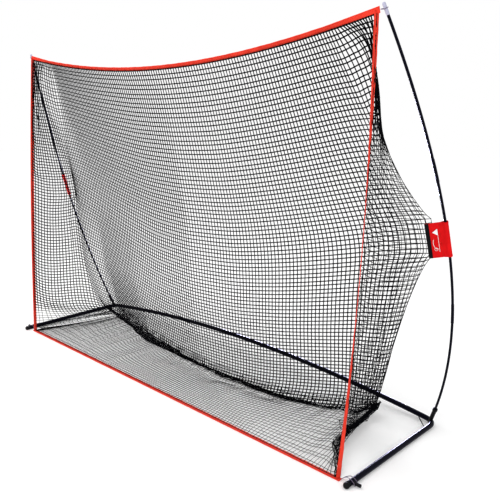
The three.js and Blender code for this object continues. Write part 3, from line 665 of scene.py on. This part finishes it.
def first_shape():
    """The sheet laid roughly where it will hang, with each row and column in its place."""
    s = np.linspace(-1, 1, NET_COLS + 1)
    sign = np.where(s < 0, -1, 1)
    fold = 1 - SIDE_COLS / (NET_COLS / 2)
    inner = np.clip(np.abs(s) / fold, 0, 1)
    outer = np.clip((np.abs(s) - fold) / (1 - fold), 0, 1)[:, None]
    numbers = np.arange(NET_ROWS + 1.0)
    edges = {side: side_edge(side, numbers) for side in (-1, 1)}
    rows = []
    for j in range(NET_ROWS + 1):
        v = min(j / BACK_ROWS, 1)
        point = back_point(inner, min(1.915 * v - 0.10 * v * (1 - v), 1.909))
        if j > BACK_ROWS:
            point = floor_row(j, point, inner, sign)
        edge = np.where(sign[:, None] < 0, edges[-1][j], edges[1][j])
        point = point * (1 - outer) + edge * outer
        point[:, 0] *= sign
        rows.append(point)
    net = np.array(rows)
    spread = gathered(s, 0.22)
    net[0] = top_edge(spread)
    front = sign * (inner * 1.408 + outer[:, 0] * (EDGE_X - 1.412))
    net[-1] = np.stack([front, np.full(len(s), MOUTH_DEPTH), np.full(len(s), 0.006)], -1)
    bunch = net[BACK_ROWS + 2 * TURN_UP + 2:-1, NET_COLS - SIDE_COLS:-1]
    tangle = np.linspace(0.016, 0.003, len(bunch))[:, None, None]
    bunch += rng.normal(0, 1, bunch.shape) * tangle
    bunch[..., 2] = np.maximum(bunch[..., 2], 0.004)
    bunch[..., 1] = np.maximum(bunch[..., 1], MOUTH_DEPTH + 0.010)
    low = np.clip((0.22 - net[..., 2]) / 0.2, 0, 1) * (net[..., 1] > 0.30)
    return net + rng.normal(0, 1, net.shape) * np.array([0.006, 0.008, 0.006]) * low[..., None]


def foot_line(row):
    """Where the foot of the net lies bunched on the floor, in small scallops."""
    at = np.arange(len(row))
    wave = 0.011 * np.sin(at * 0.95 + 2.0 * np.sin(at * 0.31)) + 0.008 * np.sin(at * 2.1 + 1.7)
    depth = crumple_depth(row[:, 0]) + wave + rng.normal(0, 0.004, len(row))
    height = 0.008 + 0.010 * np.abs(np.sin(at * 0.8 + 2 * np.sin(at * 0.17)))
    height += rng.normal(0, 0.002, len(row))
    height += 0.060 * np.clip((row[:, 0] - 1.15) / 0.10, 0, 1)
    return np.stack([row[:, 0], depth, np.maximum(height, 0.005)], -1)


def twine_lengths():
    """Each twine's own length between knots, as cut, by axis: 1 across and 0 down. A real net has one length;
    these differ by place, so that rows and columns hang as far apart as they should look."""
    number = np.abs(np.arange(NET_COLS + 1) - NET_COLS / 2)
    col = np.clip(number / (NET_COLS / 2 - SIDE_COLS), 0, 1)
    row = np.minimum(np.arange(NET_ROWS + 1) / BACK_ROWS, 1)
    across = np.tile(0.0240 + 0.0028 * col**2, (NET_ROWS + 1, 1))
    across[:, number > NET_COLS / 2 - SIDE_COLS] = CELL
    mix = np.clip((col - 0.25) / 0.6, 0, 1)
    down = (0.0256 - 0.0054 * row)[:, None] * (1 - mix) + 0.0223 * mix
    down[BACK_ROWS + 2:] = CELL * 0.97
    return {1: across, 0: down}


def pull_in(net, weight, axis, parity, lengths):
    """Shortens every other twine along one axis that is longer than its cut, and eases apart crushed ones."""
    every = slice(None)
    near, beyond = slice(parity, -1, 2), slice(parity + 1, None, 2)
    pick = (near, every) if axis == 0 else (every, near)
    far = (beyond, every) if axis == 0 else (every, beyond)
    a, b, wa, wb, rest = net[pick], net[far], weight[pick], weight[far], lengths[pick]
    d = b - a
    length = np.sqrt((d * d).sum(-1)) + 1e-9
    over = np.where(length > rest, length - rest, CRUSH_PUSH * np.minimum(length - CRUSHED * rest, 0))
    step = (over / length / np.maximum(wa + wb, 1e-9))[..., None] * d
    a += wa[..., None] * step
    b -= wb[..., None] * step


def hold_edges(net):
    """Fixes the net to its bindings and sleeves. Returns which knots can't move."""
    fixed = np.zeros(net.shape[:2], bool)
    fixed[0] = fixed[-1] = True
    fixed[:, 0] = fixed[:, -1] = True
    low, high = SLEEVE_ROWS
    hold = catmull(SLEEVE_HOLD, np.linspace(0, 1, high - low))
    for side, col in ((-1, SIDE_COLS), (1, NET_COLS - SIDE_COLS)):
        net[low:high, col] = hold * np.array([side, 1, 1])
        fixed[low:high, col] = True
    loose = BACK_ROWS + 2 * TURN_UP + 4
    fixed[loose:, NET_COLS - SIDE_COLS:] = True
    return fixed


def follow_guides(net, back, flanks):
    in_depth = guide_depth(net[..., 0], net[..., 2]) - net[..., 1]
    net[..., 1] += np.where(back, GUIDE * in_depth, 0)
    for side, flank in flanks.items():
        out = guide_side(side, net[..., 1], net[..., 2]) - side * net[..., 0]
        net[..., 0] += np.where(flank, GUIDE * side * out, 0)


def tie_foot(net, foot_row, inside, by_fold, ties):
    """Draws rows at the foot towards lines; each tie is (rows past the foot, pull, line, shift in depth)."""
    for k, tie, line, shift in ties:
        row = np.minimum(foot_row + k, NET_ROWS - 1)
        net[row, inside, 0] += tie * by_fold * (line[inside, 0] - net[row, inside, 0])
        net[row, inside, 1] += tie * (line[inside, 1] + shift - net[row, inside, 1])
        net[row, inside, 2] += tie * (line[inside, 2] - net[row, inside, 2])


def drape(steps):
    """Hangs the net. Twines pull, and push weakly when crushed; the floor holds the net up; and the back, the
    sides and the foot are drawn towards their guides at every step."""
    net = first_shape()
    fixed = hold_edges(net)
    weight = (~fixed).astype(float)
    number = np.arange(NET_COLS + 1) - NET_COLS / 2
    rows = np.arange(NET_ROWS + 1)[:, None]
    fold = NET_COLS / 2 - SIDE_COLS
    back = (np.abs(number) <= fold - 2)[None, :] & (rows < BACK_ROWS - 2) & ~fixed
    low_enough = (rows < BACK_ROWS + 10) & ~fixed
    flanks = {side: (side * number > fold + 2)[None, :] & low_enough for side in (-1, 1)}
    foot = foot_line(net[BACK_ROWS])
    inside = np.flatnonzero(np.abs(number) <= fold)
    by_fold = np.clip((np.abs(number[inside]) - fold + 8) / 8, 0, 1)
    foot_row = BACK_ROWS + np.round(6 * np.clip(np.abs(number) / fold, 0, 1)**2).astype(int)
    hem = foot.copy()
    hem[:, 1] = crumple_depth(foot[:, 0]) + 0.010
    hem[:, 2] = HEM_HEIGHT
    down = 2 * TURN_UP
    ties = [(0, 0.25, foot, 0.016), (1, 0.05, foot, 0.012), (TURN_UP, 0.5, hem, 0.0),
            (down, 0.5, foot, 0.0), (down + 1, 0.3, foot, -0.014), (down + 2, 0.12, foot, -0.032)]
    ease = weight * np.where(rows < BACK_ROWS - 6, 0.03, 0.006)
    lengths = twine_lengths()
    before = net.copy()
    for _ in range(steps):
        speed = (net - before) * 0.97
        before = net.copy()
        net += speed * weight[..., None]
        net[..., 2] -= GRAVITY * weight
        follow_guides(net, back, flanks)
        tie_foot(net, foot_row[inside], inside, by_fold, ties)
        for _ in range(3):
            for axis in (1, 0):
                pull_in(net, weight, axis, 0, lengths[axis])
                pull_in(net, weight, axis, 1, lengths[axis])
        mean = (net[:-2, 1:-1] + net[2:, 1:-1] + net[1:-1, :-2] + net[1:-1, 2:]) / 4
        net[1:-1, 1:-1] += ease[1:-1, 1:-1, None] * (mean - net[1:-1, 1:-1])
        grounded = (net[..., 2] < RESTING) & ~fixed
        net[..., 2] = np.where(grounded, RESTING, net[..., 2])
        net[grounded, :2] = net[grounded, :2] * 0.2 + before[grounded, :2] * 0.8
    net[..., 1] += FRONT_Y
    net[..., 2] = np.maximum(net[..., 2], 0.0055)
    return net


BACK_TWINE_R = 0.0029
LEFT_TWINE_R = 0.0030
RIGHT_TWINE_R = 0.0013
FLOOR_TWINE_R = 0.0013
KNOT_SWELL = 1.75


def sheet_normals(net):
    across = np.gradient(net, axis=1)
    down = np.gradient(net, axis=0)
    return unit(np.cross(across, down) + 1e-9)


def twine_radii():
    """The twine's radius at each knot: finer on the floor and the right side, where the net looks lighter."""
    number = np.arange(NET_COLS + 1) - NET_COLS / 2
    fold = NET_COLS / 2 - SIDE_COLS
    ends = [-fold - 6, -fold, fold - 6, fold]
    radii = np.interp(number, ends, [LEFT_TWINE_R, BACK_TWINE_R, BACK_TWINE_R, RIGHT_TWINE_R])[None, :]
    near_top = np.clip(1 - (np.arange(NET_ROWS + 1) - 14) / 10, 0, 1)[:, None]
    radii = radii + (BACK_TWINE_R - radii) * near_top
    on_floor = np.clip((np.arange(NET_ROWS + 1) - BACK_ROWS) / 3, 0, 1)[:, None]
    return radii + (FLOOR_TWINE_R - radii) * on_floor


def twine_tubes(lines, normals, radii):
    """Square-section tubes along many equal lines at once; lines has shape (lines, points, 3)."""
    tangents = unit(np.gradient(lines, axis=1) + 1e-9)
    side = unit(np.cross(tangents, normals) + 1e-9)
    top = np.cross(side, tangents)
    ring = np.stack([side, top, -side, -top], 2) * np.broadcast_to(radii, lines.shape[:2])[:, :, None, None]
    verts = (lines[:, :, None] + ring).reshape(-1, 3)
    count, points = lines.shape[:2]
    line, spot, k = np.meshgrid(np.arange(count), np.arange(points - 1), np.arange(4), indexing="ij")
    base = (line * points + spot) * 4
    a, b = base + k, base + (k + 1) % 4
    walls = np.stack([a, a + 4, b + 4, b], -1).reshape(-1, 4)
    first = (np.arange(count) * points * 4)[:, None]
    last = first + (points - 1) * 4
    caps = np.concatenate([first + np.arange(4), last + np.array([3, 2, 1, 0])])
    return verts, np.concatenate([walls, caps])


def knots(points, normals, radii):
    """A small eight-sided knot at each crossing."""
    points, normals = points.reshape(-1, 3), normals.reshape(-1, 3)
    turn = rng.uniform(0, math.pi / 2, len(points))
    side = unit(np.cross(normals, (0.0, 0.0, 1.0)) + 1e-6)
    top = np.cross(normals, side)
    one = side * np.cos(turn)[:, None] + top * np.sin(turn)[:, None]
    two = np.cross(normals, one)
    size = (radii.ravel() * KNOT_SWELL * rng.uniform(0.85, 1.15, len(points)))[:, None]
    corners = np.stack([one, two, -one, -two, normals * 0.75, -normals * 0.75], 1) * size[:, None]
    verts = (points[:, None] + corners).reshape(-1, 3)
    faces = np.array([(0, 1, 4), (1, 2, 4), (2, 3, 4), (3, 0, 4), (1, 0, 5), (2, 1, 5), (3, 2, 5), (0, 3, 5)])
    faces = (faces[None] + (np.arange(len(points)) * 6)[:, None, None]).reshape(-1, 3)
    return verts, faces


def net_mesh(name, net, normals, radii):
    """Every twine and knot of one patch of the net as one mesh."""
    across = twine_tubes(net, normals, radii)
    down = twine_tubes(net.transpose(1, 0, 2), normals.transpose(1, 0, 2), radii.T)
    lumps = knots(net, normals, radii)
    verts = np.concatenate([across[0], down[0], lumps[0]])
    starts = [0, len(across[0]), len(across[0]) + len(down[0])]
    quads = np.concatenate([across[1], down[1] + starts[1]])
    triangles = lumps[1] + starts[2]
    mesh = bpy.data.meshes.new(name)
    mesh.vertices.add(len(verts))
    mesh.vertices.foreach_set("co", verts.ravel())
    corners = np.concatenate([quads.ravel(), triangles.ravel()])
    mesh.loops.add(len(corners))
    mesh.loops.foreach_set("vertex_index", corners.astype(np.int32))
    sizes = np.concatenate([np.full(len(quads), 4), np.full(len(triangles), 3)])
    mesh.polygons.add(len(sizes))
    starts = np.concatenate([[0], np.cumsum(sizes)[:-1]])
    mesh.polygons.foreach_set("loop_start", starts.astype(np.int32))
    mesh.update(calc_edges=True)
    mesh.polygons.foreach_set("use_smooth", np.ones(len(sizes), bool))
    mesh.materials.append(NET)
    piece = bpy.data.objects.new(name, mesh)
    bpy.context.scene.collection.objects.link(piece)
    return piece


def add_net():
    """The bag in five patches: both sides, the back in two halves, and the floor."""
    net = drape(steps=900)
    normals = sheet_normals(net)
    radii = twine_radii()
    lengths = twine_lengths()
    fold = NET_COLS - SIDE_COLS
    middle = BACK_ROWS // 2
    hem = BACK_ROWS + TURN_UP
    patches = [
        ("netting_side_left", (0, NET_ROWS), (0, SIDE_COLS), "net_left_side"),
        ("netting_side_right", (0, NET_ROWS), (fold, NET_COLS), "net_right_side"),
        ("netting_back_upper", (0, middle), (SIDE_COLS, fold), "net_back_panel"),
        ("netting_back_lower", (middle, hem), (SIDE_COLS, fold), "net_back_panel"),
        ("netting_floor", (hem, NET_ROWS), (SIDE_COLS, fold), "net_floor_panel"),
    ]
    for name, (first_row, last_row), (first_col, last_col), node in patches:
        rows, cols = slice(first_row, last_row + 1), slice(first_col, last_col + 1)
        piece = net_mesh(name, net[rows, cols], normals[rows, cols], radii[rows, cols])
        finished(piece, ROOT, "netting", node)


# ---- bindings ----------------------------------------------------------------------------


def tape(path, across, width, thick, name, material, ripple=0.0006):
    """A strip of folded webbing: round-edged, and slightly wavy as sewn tape is."""
    path, across = np.asarray(path, float), unit(across)
    tangents = unit(np.gradient(path, axis=0))
    across = unit(across - tangents * (across * tangents).sum(-1, keepdims=True))
    normal = np.cross(tangents, across)
    at = lengths_along(path)
    u = np.array([-1, -0.96, -0.8, -0.4, 0, 0.4, 0.8, 0.96, 1])
    swell = np.array([0.15, 0.75, 1, 0.92, 0.9, 0.92, 1, 0.75, 0.15])
    wave_a, wave_b = rng.uniform(0, 6, 2)
    lift = ripple * (np.sin(at * 61 + wave_a) + 0.7 * np.sin(at * 143 + wave_b))
    outline = list(zip(u, swell)) + list(zip(u[::-1], -swell[::-1]))
    verts, uvs = [], []
    for x, s in outline:
        edge = width / 2 * (1 + 0.012 * np.sin(at * 37 + x))
        height = s * thick / 2 + lift * (0.6 + 0.4 * x)
        verts.append(path + across * (x * edge)[:, None] + normal * height[:, None])
        uvs.append(np.stack([at, np.full(len(at), x * width / 2)], -1))
    verts = np.stack(verts, 1).reshape(-1, 3)
    uvs = np.stack(uvs, 1).reshape(-1, 2)
    faces = skin_faces(len(path), len(outline))
    return mesh_piece(name, verts, faces, material, uvs=uvs), (path, across, normal, lift)


THREAD_R = 0.00045


def stitches(name, strip, rows, thick, material, pitch=0.0062, length=0.0042):
    """Rows of lockstitch on both faces of a tape; rows are places across it."""
    path, across, normal, lift = strip
    at = lengths_along(path)
    starts = np.arange(pitch, at[-1] - pitch, pitch)
    facing = sampled(normal, at, starts)[:, None].repeat(3, 1)
    parts = []
    for row in rows:
        for face in (-1, 1):
            ends = []
            for shift, proud in ((0, -0.0001), (length / 2, 0.0003), (length, -0.0001)):
                where = starts + shift
                high = face * (thick / 2 + proud) + np.interp(where, at, lift)
                spot = sampled(path, at, where) + sampled(across, at, where) * row
                ends.append(spot + sampled(normal, at, where) * high[:, None])
            parts.append(twine_tubes(np.stack(ends, 1), facing, THREAD_R))
    verts, faces = joined(parts)
    return mesh_piece(name, verts, faces, material)


def side_binding_path(side, count=240):
    t = np.linspace(0, 1, count)[:, None]
    top = place(side * EDGE_X, TOP_DEPTH, TOP_Z)
    mid = place(side * (EDGE_X + 2 * SIDE_BOW), (TOP_DEPTH + MOUTH_DEPTH) / 2, TOP_Z / 2)
    foot = place(side * EDGE_X, MOUTH_DEPTH, BINDING_THICK + 0.003)
    return curved(top, mid, foot, t)


def side_binding_facing(side, count=240):
    """Which way the side tape's width runs: back along the side net, and twisted inwards at mid height."""
    t = np.linspace(0, 1, count)
    twist = 46 * np.sin(math.pi * t)**1.3 if side > 0 else 8 * np.sin(math.pi * t)
    angle = np.radians(76 + twist)
    return np.stack([side * np.cos(angle), np.sin(angle), np.zeros(count)], -1)


def top_binding_facing(count=300):
    """Which way the top tape's width runs: the weight of the net rolls it forwards between the corners."""
    angle = np.radians(-44) * np.clip(np.sin(math.pi * np.linspace(0, 1, count)) / 0.25, 0, 1)
    return np.stack([np.zeros(count), np.sin(angle), np.cos(angle)], -1)


def add_binding(name, node, path, across):
    piece, strip = tape(path, across, BINDING_WIDTH, BINDING_THICK, name, RED_TAPE)
    finished(piece, ROOT, "red_webbing", node)
    edge = BINDING_WIDTH / 2 - 0.0035
    thread = stitches(f"{name}_stitching", strip, (-edge, edge), BINDING_THICK, RED_THREAD)
    finished(thread, ROOT, "red_webbing")


def add_bindings():
    x = np.linspace(-1, 1, 300) * (EDGE_X + BINDING_WIDTH / 2)
    sag = 1 - (x / EDGE_X)**2
    top = np.stack([x, FRONT_Y + TOP_DEPTH + 0.014 * sag, TOP_Z - TOP_SAG * sag], -1)
    add_binding("edge_tape_top", "binding_top", top, top_binding_facing())
    floor = np.stack([x, np.full(300, FRONT_Y + MOUTH_DEPTH), np.full(300, BINDING_THICK / 2 + 0.0009)], -1)
    add_binding("edge_tape_floor", "binding_floor", floor, np.tile([0, 1.0, 0.0], (300, 1)))
    for side, hand in SIDES:
        path = side_binding_path(side)
        add_binding(f"edge_tape_{hand}", f"binding_{hand}", path, side_binding_facing(side))


# ---- the sleeves that tie the net to the poles -------------------------------------------


def sleeve_frame(side):
    """Where a sleeve is: origin, directions towards the net, out of its face and up, and height."""
    pole = pole_points(side, 600)
    low_at = np.argmin(np.abs(pole[:, 2] - SLEEVE_LOW))
    high_at = np.argmin(np.abs(pole[:, 2] - SLEEVE_HIGH))
    low, high = pole[low_at], pole[high_at]
    at = lengths_along(pole)
    half_way = (at[low_at] + at[high_at]) / 2
    middle = part_of(pole, half_way, half_way + 0.001, 2)[0]
    axis = unit(high - low)
    pull = np.array([-0.89 * side, -0.457, 0])
    reach = unit(pull - axis * (pull @ axis))
    normal = np.cross(axis, reach)
    origin = low + 0.5 * (middle - (low + high) / 2)
    return origin, reach, normal, axis, np.linalg.norm(high - low)


def sleeve_line():
    """The sleeve's cloth from its net edge, round the pole and back, as (reach, normal)."""
    flat = np.linspace(SLEEVE_REACH, SLEEVE_WRAP_R * 2.0, 22)[:-1]
    turn = np.linspace(math.radians(38), math.radians(322), 34)
    lobe = np.stack([SLEEVE_WRAP_R * np.cos(turn), SLEEVE_WRAP_R * np.sin(turn)], -1)
    front = np.stack([flat, np.full(len(flat), 0.0009)], -1)
    back = np.stack([flat[::-1], np.full(len(flat), -0.0009)], -1)
    return np.concatenate([front, lobe, back])


def sleeve_layer(frame, line, run, heights, layer):
    """One face of the sleeve's cloth, with its hems and its puckers."""
    origin, reach, normal, axis, height = frame
    tangent = np.gradient(line, axis=0)
    tangent /= np.linalg.norm(tangent, axis=1, keepdims=True)
    out = np.stack([tangent[:, 1], -tangent[:, 0]], -1)
    rows = []
    for t in heights:
        hem = 0.0006 * (np.clip((0.07 - min(t, 1 - t)) / 0.02, 0, 1))
        bulge = np.exp(-((t - 0.5) / 0.32)**2) * np.sin(math.pi * run / run[-1])
        pucker = 0.0011 * np.sin(run * 90 + 3 * t) * bulge
        pucker += 0.0008 * np.sin(t * 23 + run * 40)
        offset = layer * (SLEEVE_SKIN + hem) + pucker * (line[:, 0] > SLEEVE_WRAP_R)
        point = line + out * offset[:, None]
        rows.append(origin + reach * point[:, :1] + normal * point[:, 1:] + axis * (t * height))
    return np.array(rows)


def cloth_faces(rows, count):
    """The faces of two layers of rows by count points, joined along all four edges."""
    half = rows * count
    faces = []
    for i in range(rows - 1):
        for k in range(count - 1):
            a = i * count + k
            faces.append((a, a + 1, a + 1 + count, a + count))
            faces.append((half + a + count, half + a + 1 + count, half + a + 1, half + a))
    for k in range(count - 1):
        faces.append((k + 1, k, half + k, half + k + 1))
        top = (rows - 1) * count + k
        faces.append((top, top + 1, half + top + 1, half + top))
    for i in range(rows - 1):
        a, b = i * count, (i + 1) * count
        faces.append((a, b, half + b, half + a))
        faces.append((b + count - 1, a + count - 1, half + a + count - 1, half + b + count - 1))
    return faces


def add_sleeve(side, hand):
    frame = sleeve_frame(side)
    height = frame[-1]
    line = sleeve_line()
    run = lengths_along(line)
    heights = np.linspace(0, 1, 60)
    layers = [sleeve_layer(frame, line, run, heights, layer).reshape(-1, 3) for layer in (1, -1)]
    u = np.tile(run, len(heights))
    w = np.repeat(heights * height, len(line))
    uvs = np.tile(np.stack([u, w], -1), (2, 1))
    faces = cloth_faces(len(heights), len(line))
    piece = mesh_piece(f"sleeve_{hand}", np.concatenate(layers), faces, RED_CLOTH, uvs=uvs)
    finished(piece, ROOT, "red_fabric", f"pole_sleeve_{hand}")
    add_sleeve_trim(hand, frame)
    add_mark(hand, frame)


def add_sleeve_trim(hand, frame):
    """Black webbing folded over the sleeve's net edge, and the seams."""
    origin, reach, normal, axis, height = frame
    edge = SLEEVE_REACH - STRIP_WIDTH / 2 + 0.001
    for face, place_name in ((-1, "front"), (1, "rear")):
        start = origin + reach * edge + normal * face * 0.0026
        path = np.linspace(start, start + axis * height, 60)
        name = f"sleeve_tape_{hand}_{place_name}"
        piece, strip = tape(path, np.tile(reach, (60, 1)), STRIP_WIDTH, 0.0013, name, BLACK_TAPE, 0.0001)
        finished(piece, ROOT, "black_webbing", f"sleeve_webbing_{hand}")
        thread = stitches(f"{name}_stitching", strip, (-0.006, 0.006), 0.0013, BLACK_TAPE, 0.0050, 0.0034)
        finished(thread, ROOT, "black_webbing")
    foot = origin + reach * 0.027
    seam = np.linspace(foot, foot + axis * height, 60)
    strip = (seam, np.tile(reach, (60, 1)), np.tile(normal, (60, 1)), np.zeros(60))
    thread = stitches(f"sleeve_seam_{hand}", strip, (0.0, 0.003), 0.0038, RED_THREAD, 0.0050, 0.0034)
    finished(thread, ROOT, "red_fabric")


def disc(centre, one, two, radius, count=40, inner=0.0):
    """A flat disc, or a flat ring if it has an inner radius."""
    angle = np.linspace(0, 2 * math.pi, count + 1)[:-1]
    rim = [centre + one * radius * math.cos(a) + two * radius * math.sin(a) for a in angle]
    if inner <= 0:
        return np.array(rim), [tuple(range(count))]
    hole = [centre + one * inner * math.cos(a) + two * inner * math.sin(a) for a in angle]
    faces = [(k, (k + 1) % count, count + (k + 1) % count, count + k) for k in range(count)]
    return np.array(rim + hole), faces


def add_mark(hand, frame):
    """A plain printed mark in white: a golf flag beside a ball, running up the sleeve."""
    origin, reach, normal, axis, height = frame
    parts = []
    for face in (-1, 1):
        base = origin + normal * face * 0.0044 + axis * height / 2

        def at(across, up):
            return base + reach * across + axis * up

        stick = [at(0.0395, -0.058), at(0.0415, -0.058), at(0.0415, 0.058), at(0.0395, 0.058)]
        flag = [at(0.0415, 0.058), at(0.0415, 0.026), at(0.064, 0.042)]
        parts.append((np.array(stick), [(0, 1, 2, 3)]))
        parts.append((np.array(flag), [(0, 1, 2)]))
        parts.append(disc(at(0.055, -0.044), reach, axis, 0.0085, inner=0.0068))
        for k in range(3):
            dimple = at(0.0525 + 0.0025 * k, -0.044 + 0.0018 * (k % 2))
            parts.append(disc(dimple, reach, axis, 0.0007, 12))
        swing = np.linspace(0.1, 2.2, 20)
        inner = [at(0.046 + 0.018 * math.sin(a), -0.012 - 0.030 * math.cos(a)) for a in swing]
        outer = [at(0.046 + 0.0205 * math.sin(a), -0.012 - 0.0325 * math.cos(a)) for a in swing]
        parts.append((np.array(inner + outer), [(k, k + 1, 20 + k + 1, 20 + k) for k in range(19)]))
    verts, faces = joined(parts)
    piece = mesh_piece(f"sleeve_mark_{hand}", verts, faces, WHITE_PRINT, smooth=False)
    finished(piece, ROOT, "pale_plastic")


# ---- the elastic corner loops ------------------------------------------------------------


def loop_points(points, count):
    """A closed smooth curve through given points."""
    pts = np.asarray(points, float)
    wrapped = np.concatenate([pts[-2:], pts, pts[:3]])
    t = np.linspace(2 / (len(wrapped) - 1), (len(pts) + 2) / (len(wrapped) - 1), count + 1)[:-1]
    return catmull(wrapped, t)


def braided(path, radius, name):
    """A closed cord whose surface carries the slanting ridges of its braid."""
    count, around = len(path), 12
    closed = np.concatenate([path[-1:], path, path[:1]])
    tangents = unit(closed[2:] - closed[:-2])
    away = path - path.mean(0)
    side = unit(away - tangents * (away * tangents).sum(-1, keepdims=True))
    top = np.cross(side, tangents)
    angle = np.arange(around) * 2 * math.pi / around
    index = np.arange(count)[:, None]
    strands = np.cos(3 * angle[None] + index * 0.9) * np.cos(3 * angle[None] - index * 0.9)
    ridge = (radius * (1 + 0.10 * strands))[..., None]
    verts = path[:, None] + side[:, None] * (np.cos(angle)[:, None] * ridge)
    verts = verts + top[:, None] * (np.sin(angle)[:, None] * ridge)
    faces = []
    for i in range(count):
        for k in range(around):
            a, b = i * around + k, i * around + (k + 1) % around
            c = ((i + 1) % count) * around
            faces.append((a, b, c + (k + 1) % around, c + k))
    return mesh_piece(name, verts.reshape(-1, 3), faces, ELASTIC)


def add_loops(side, hand):
    centre = ball(side) + (corner(side) - ball(side)) * PEG_SETBACK / BASE_DEPTH
    gap = 0.0004
    wrap = PEG_R + LOOP_R + 4 * gap
    diagonal = wrap * math.sqrt(0.5)
    eye = side * (EDGE_X + BINDING_WIDTH / 2 + LOOP_R + gap)

    def peg(x, depth, z):
        return centre + np.array([side * x, depth, z])

    bottom = [
        np.array([eye, FRONT_Y + MOUTH_DEPTH, 0.007]),
        peg(-0.030, -0.004, 0.012),
        peg(-0.006, -wrap + 0.001, TUBE_R + LOOP_R + 0.004),
        peg(0.018, -wrap, 0.008),
        peg(0.021, -wrap, -0.001),
        peg(0.022, -diagonal, -diagonal),
        peg(0.022, 0, -wrap),
        peg(0.022, diagonal, -diagonal),
        peg(0.021, wrap, -0.001),
        peg(0.018, wrap, 0.008),
        peg(-0.006, wrap - 0.001, TUBE_R + LOOP_R + 0.004),
        peg(-0.030, 0.004, 0.012),
    ]
    piece = braided(loop_points(bottom, 220), LOOP_R, f"elastic_bottom_{hand}")
    finished(piece, ROOT, "elastic_cord", f"corner_loop_bottom_{hand}")
    pole = pole_points(side, 800)
    total = lengths_along(pole)[-1]
    near = part_of(pole, total - 0.027, total - 0.025, 3)
    hold, axis = near[1], unit(near[2] - near[0])
    inward = unit(np.array([-side, 0, 0]) + axis * side * axis[0])
    across = np.cross(axis, inward)
    turn_r = TIP_R + LOOP_R + 0.001
    top = []
    for i in range(7):
        angle = math.pi * (-0.6 + 1.2 * i / 6) + math.pi
        top.append(hold + inward * turn_r * math.cos(angle) + across * turn_r * math.sin(angle))
    end_x = side * (EDGE_X + BINDING_WIDTH / 2 + LOOP_R + 0.0015)
    top.append(place(end_x, TOP_DEPTH + 0.002, TOP_Z + 0.004))
    piece = braided(loop_points(top, 160), LOOP_R, f"elastic_top_{hand}")
    finished(piece, ROOT, "elastic_cord", f"corner_loop_top_{hand}")


# ---- stage -------------------------------------------------------------------------------

CAMERA_AT = (2.764, -2.046 + FRONT_Y, 1.601)
CAMERA_YAW = -42.551
CAMERA_PITCH = -11.995
CAMERA_ROLL = 0.728
CAMERA_LENS = 42.0


def add_camera():
    yaw, pitch, roll = (math.radians(a) for a in (CAMERA_YAW, CAMERA_PITCH, CAMERA_ROLL))
    ahead = Vector((math.sin(yaw) * math.cos(pitch), math.cos(yaw) * math.cos(pitch), math.sin(pitch)))
    right = Vector((math.cos(yaw), -math.sin(yaw), 0))
    up = right.cross(ahead)
    turned_right = right * math.cos(roll) + up * math.sin(roll)
    turned_up = up * math.cos(roll) - right * math.sin(roll)
    data = bpy.data.cameras.new("camera")
    data.lens = CAMERA_LENS
    data.sensor_width = 36
    camera = bpy.data.objects.new("camera", data)
    bpy.context.scene.collection.objects.link(camera)
    basis = Matrix((turned_right, turned_up, -ahead)).transposed().to_4x4()
    camera.matrix_world = Matrix.Translation(CAMERA_AT) @ basis
    bpy.context.scene.camera = camera


def area_light(name, at, target, size, power, color=(1, 1, 1)):
    data = bpy.data.lights.new(name, "AREA")
    data.shape = "RECTANGLE"
    data.size, data.size_y = size
    data.energy = power
    data.color = color
    light = bpy.data.objects.new(name, data)
    bpy.context.scene.collection.objects.link(light)
    light.location = at
    light.rotation_euler = (Vector(target) - Vector(at)).to_track_quat("-Z", "Y").to_euler()
    light.visible_camera = False
    return light


def add_stage():
    """A white studio floor under a white sky, with a soft light overhead and a weaker one in front. The strip
    behind is the strongest, and shows only as a reflection along the tubes."""
    sockets = {"Specular IOR Level": 0.0, "Emission Color": (1, 1, 1, 1), "Emission Strength": 0.13}
    paper = principled("studio_paper", (0.88, 0.88, 0.88), 0.9, sockets)[0]
    reach, drop = 30, -0.0005
    corners = [(-reach, -reach, drop), (reach, -reach, drop), (reach, reach, drop), (-reach, reach, drop)]
    floor = mesh_piece("studio_floor", corners, [(0, 1, 2, 3)], paper, smooth=False)
    world = bpy.data.worlds.new("studio")
    bpy.context.scene.world = world
    world.use_nodes = True
    sky = world.node_tree.nodes["Background"].inputs
    sky["Color"].default_value = (1, 1, 1, 1)
    sky["Strength"].default_value = 1.0
    area_light("key", (-1.2, -1.5, 4.2), (0, 0, 0.4), (3.5, 2.5), 60)
    strip = area_light("strip", (-0.8, 2.8, 0.9), (1.5, 0.0, 0.0), (2.4, 0.7), 420, (0.72, 0.72, 1.0))
    strip.visible_diffuse = False
    area_light("front", (3.4, -4.2, 2.6), (0, 0, 0.9), (2.0, 2.0), 30)
    view = bpy.context.scene.view_settings
    view.view_transform = "Standard"
    view.look = "None"
    view.exposure = 0.0
    view.gamma = 0.82


def main():
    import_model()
    add_base()
    for side, hand in SIDES:
        add_pole(side, hand)
        add_sleeve(side, hand)
        add_loops(side, hand)
    add_bindings()
    add_net()
    add_camera()
    add_stage()


main()
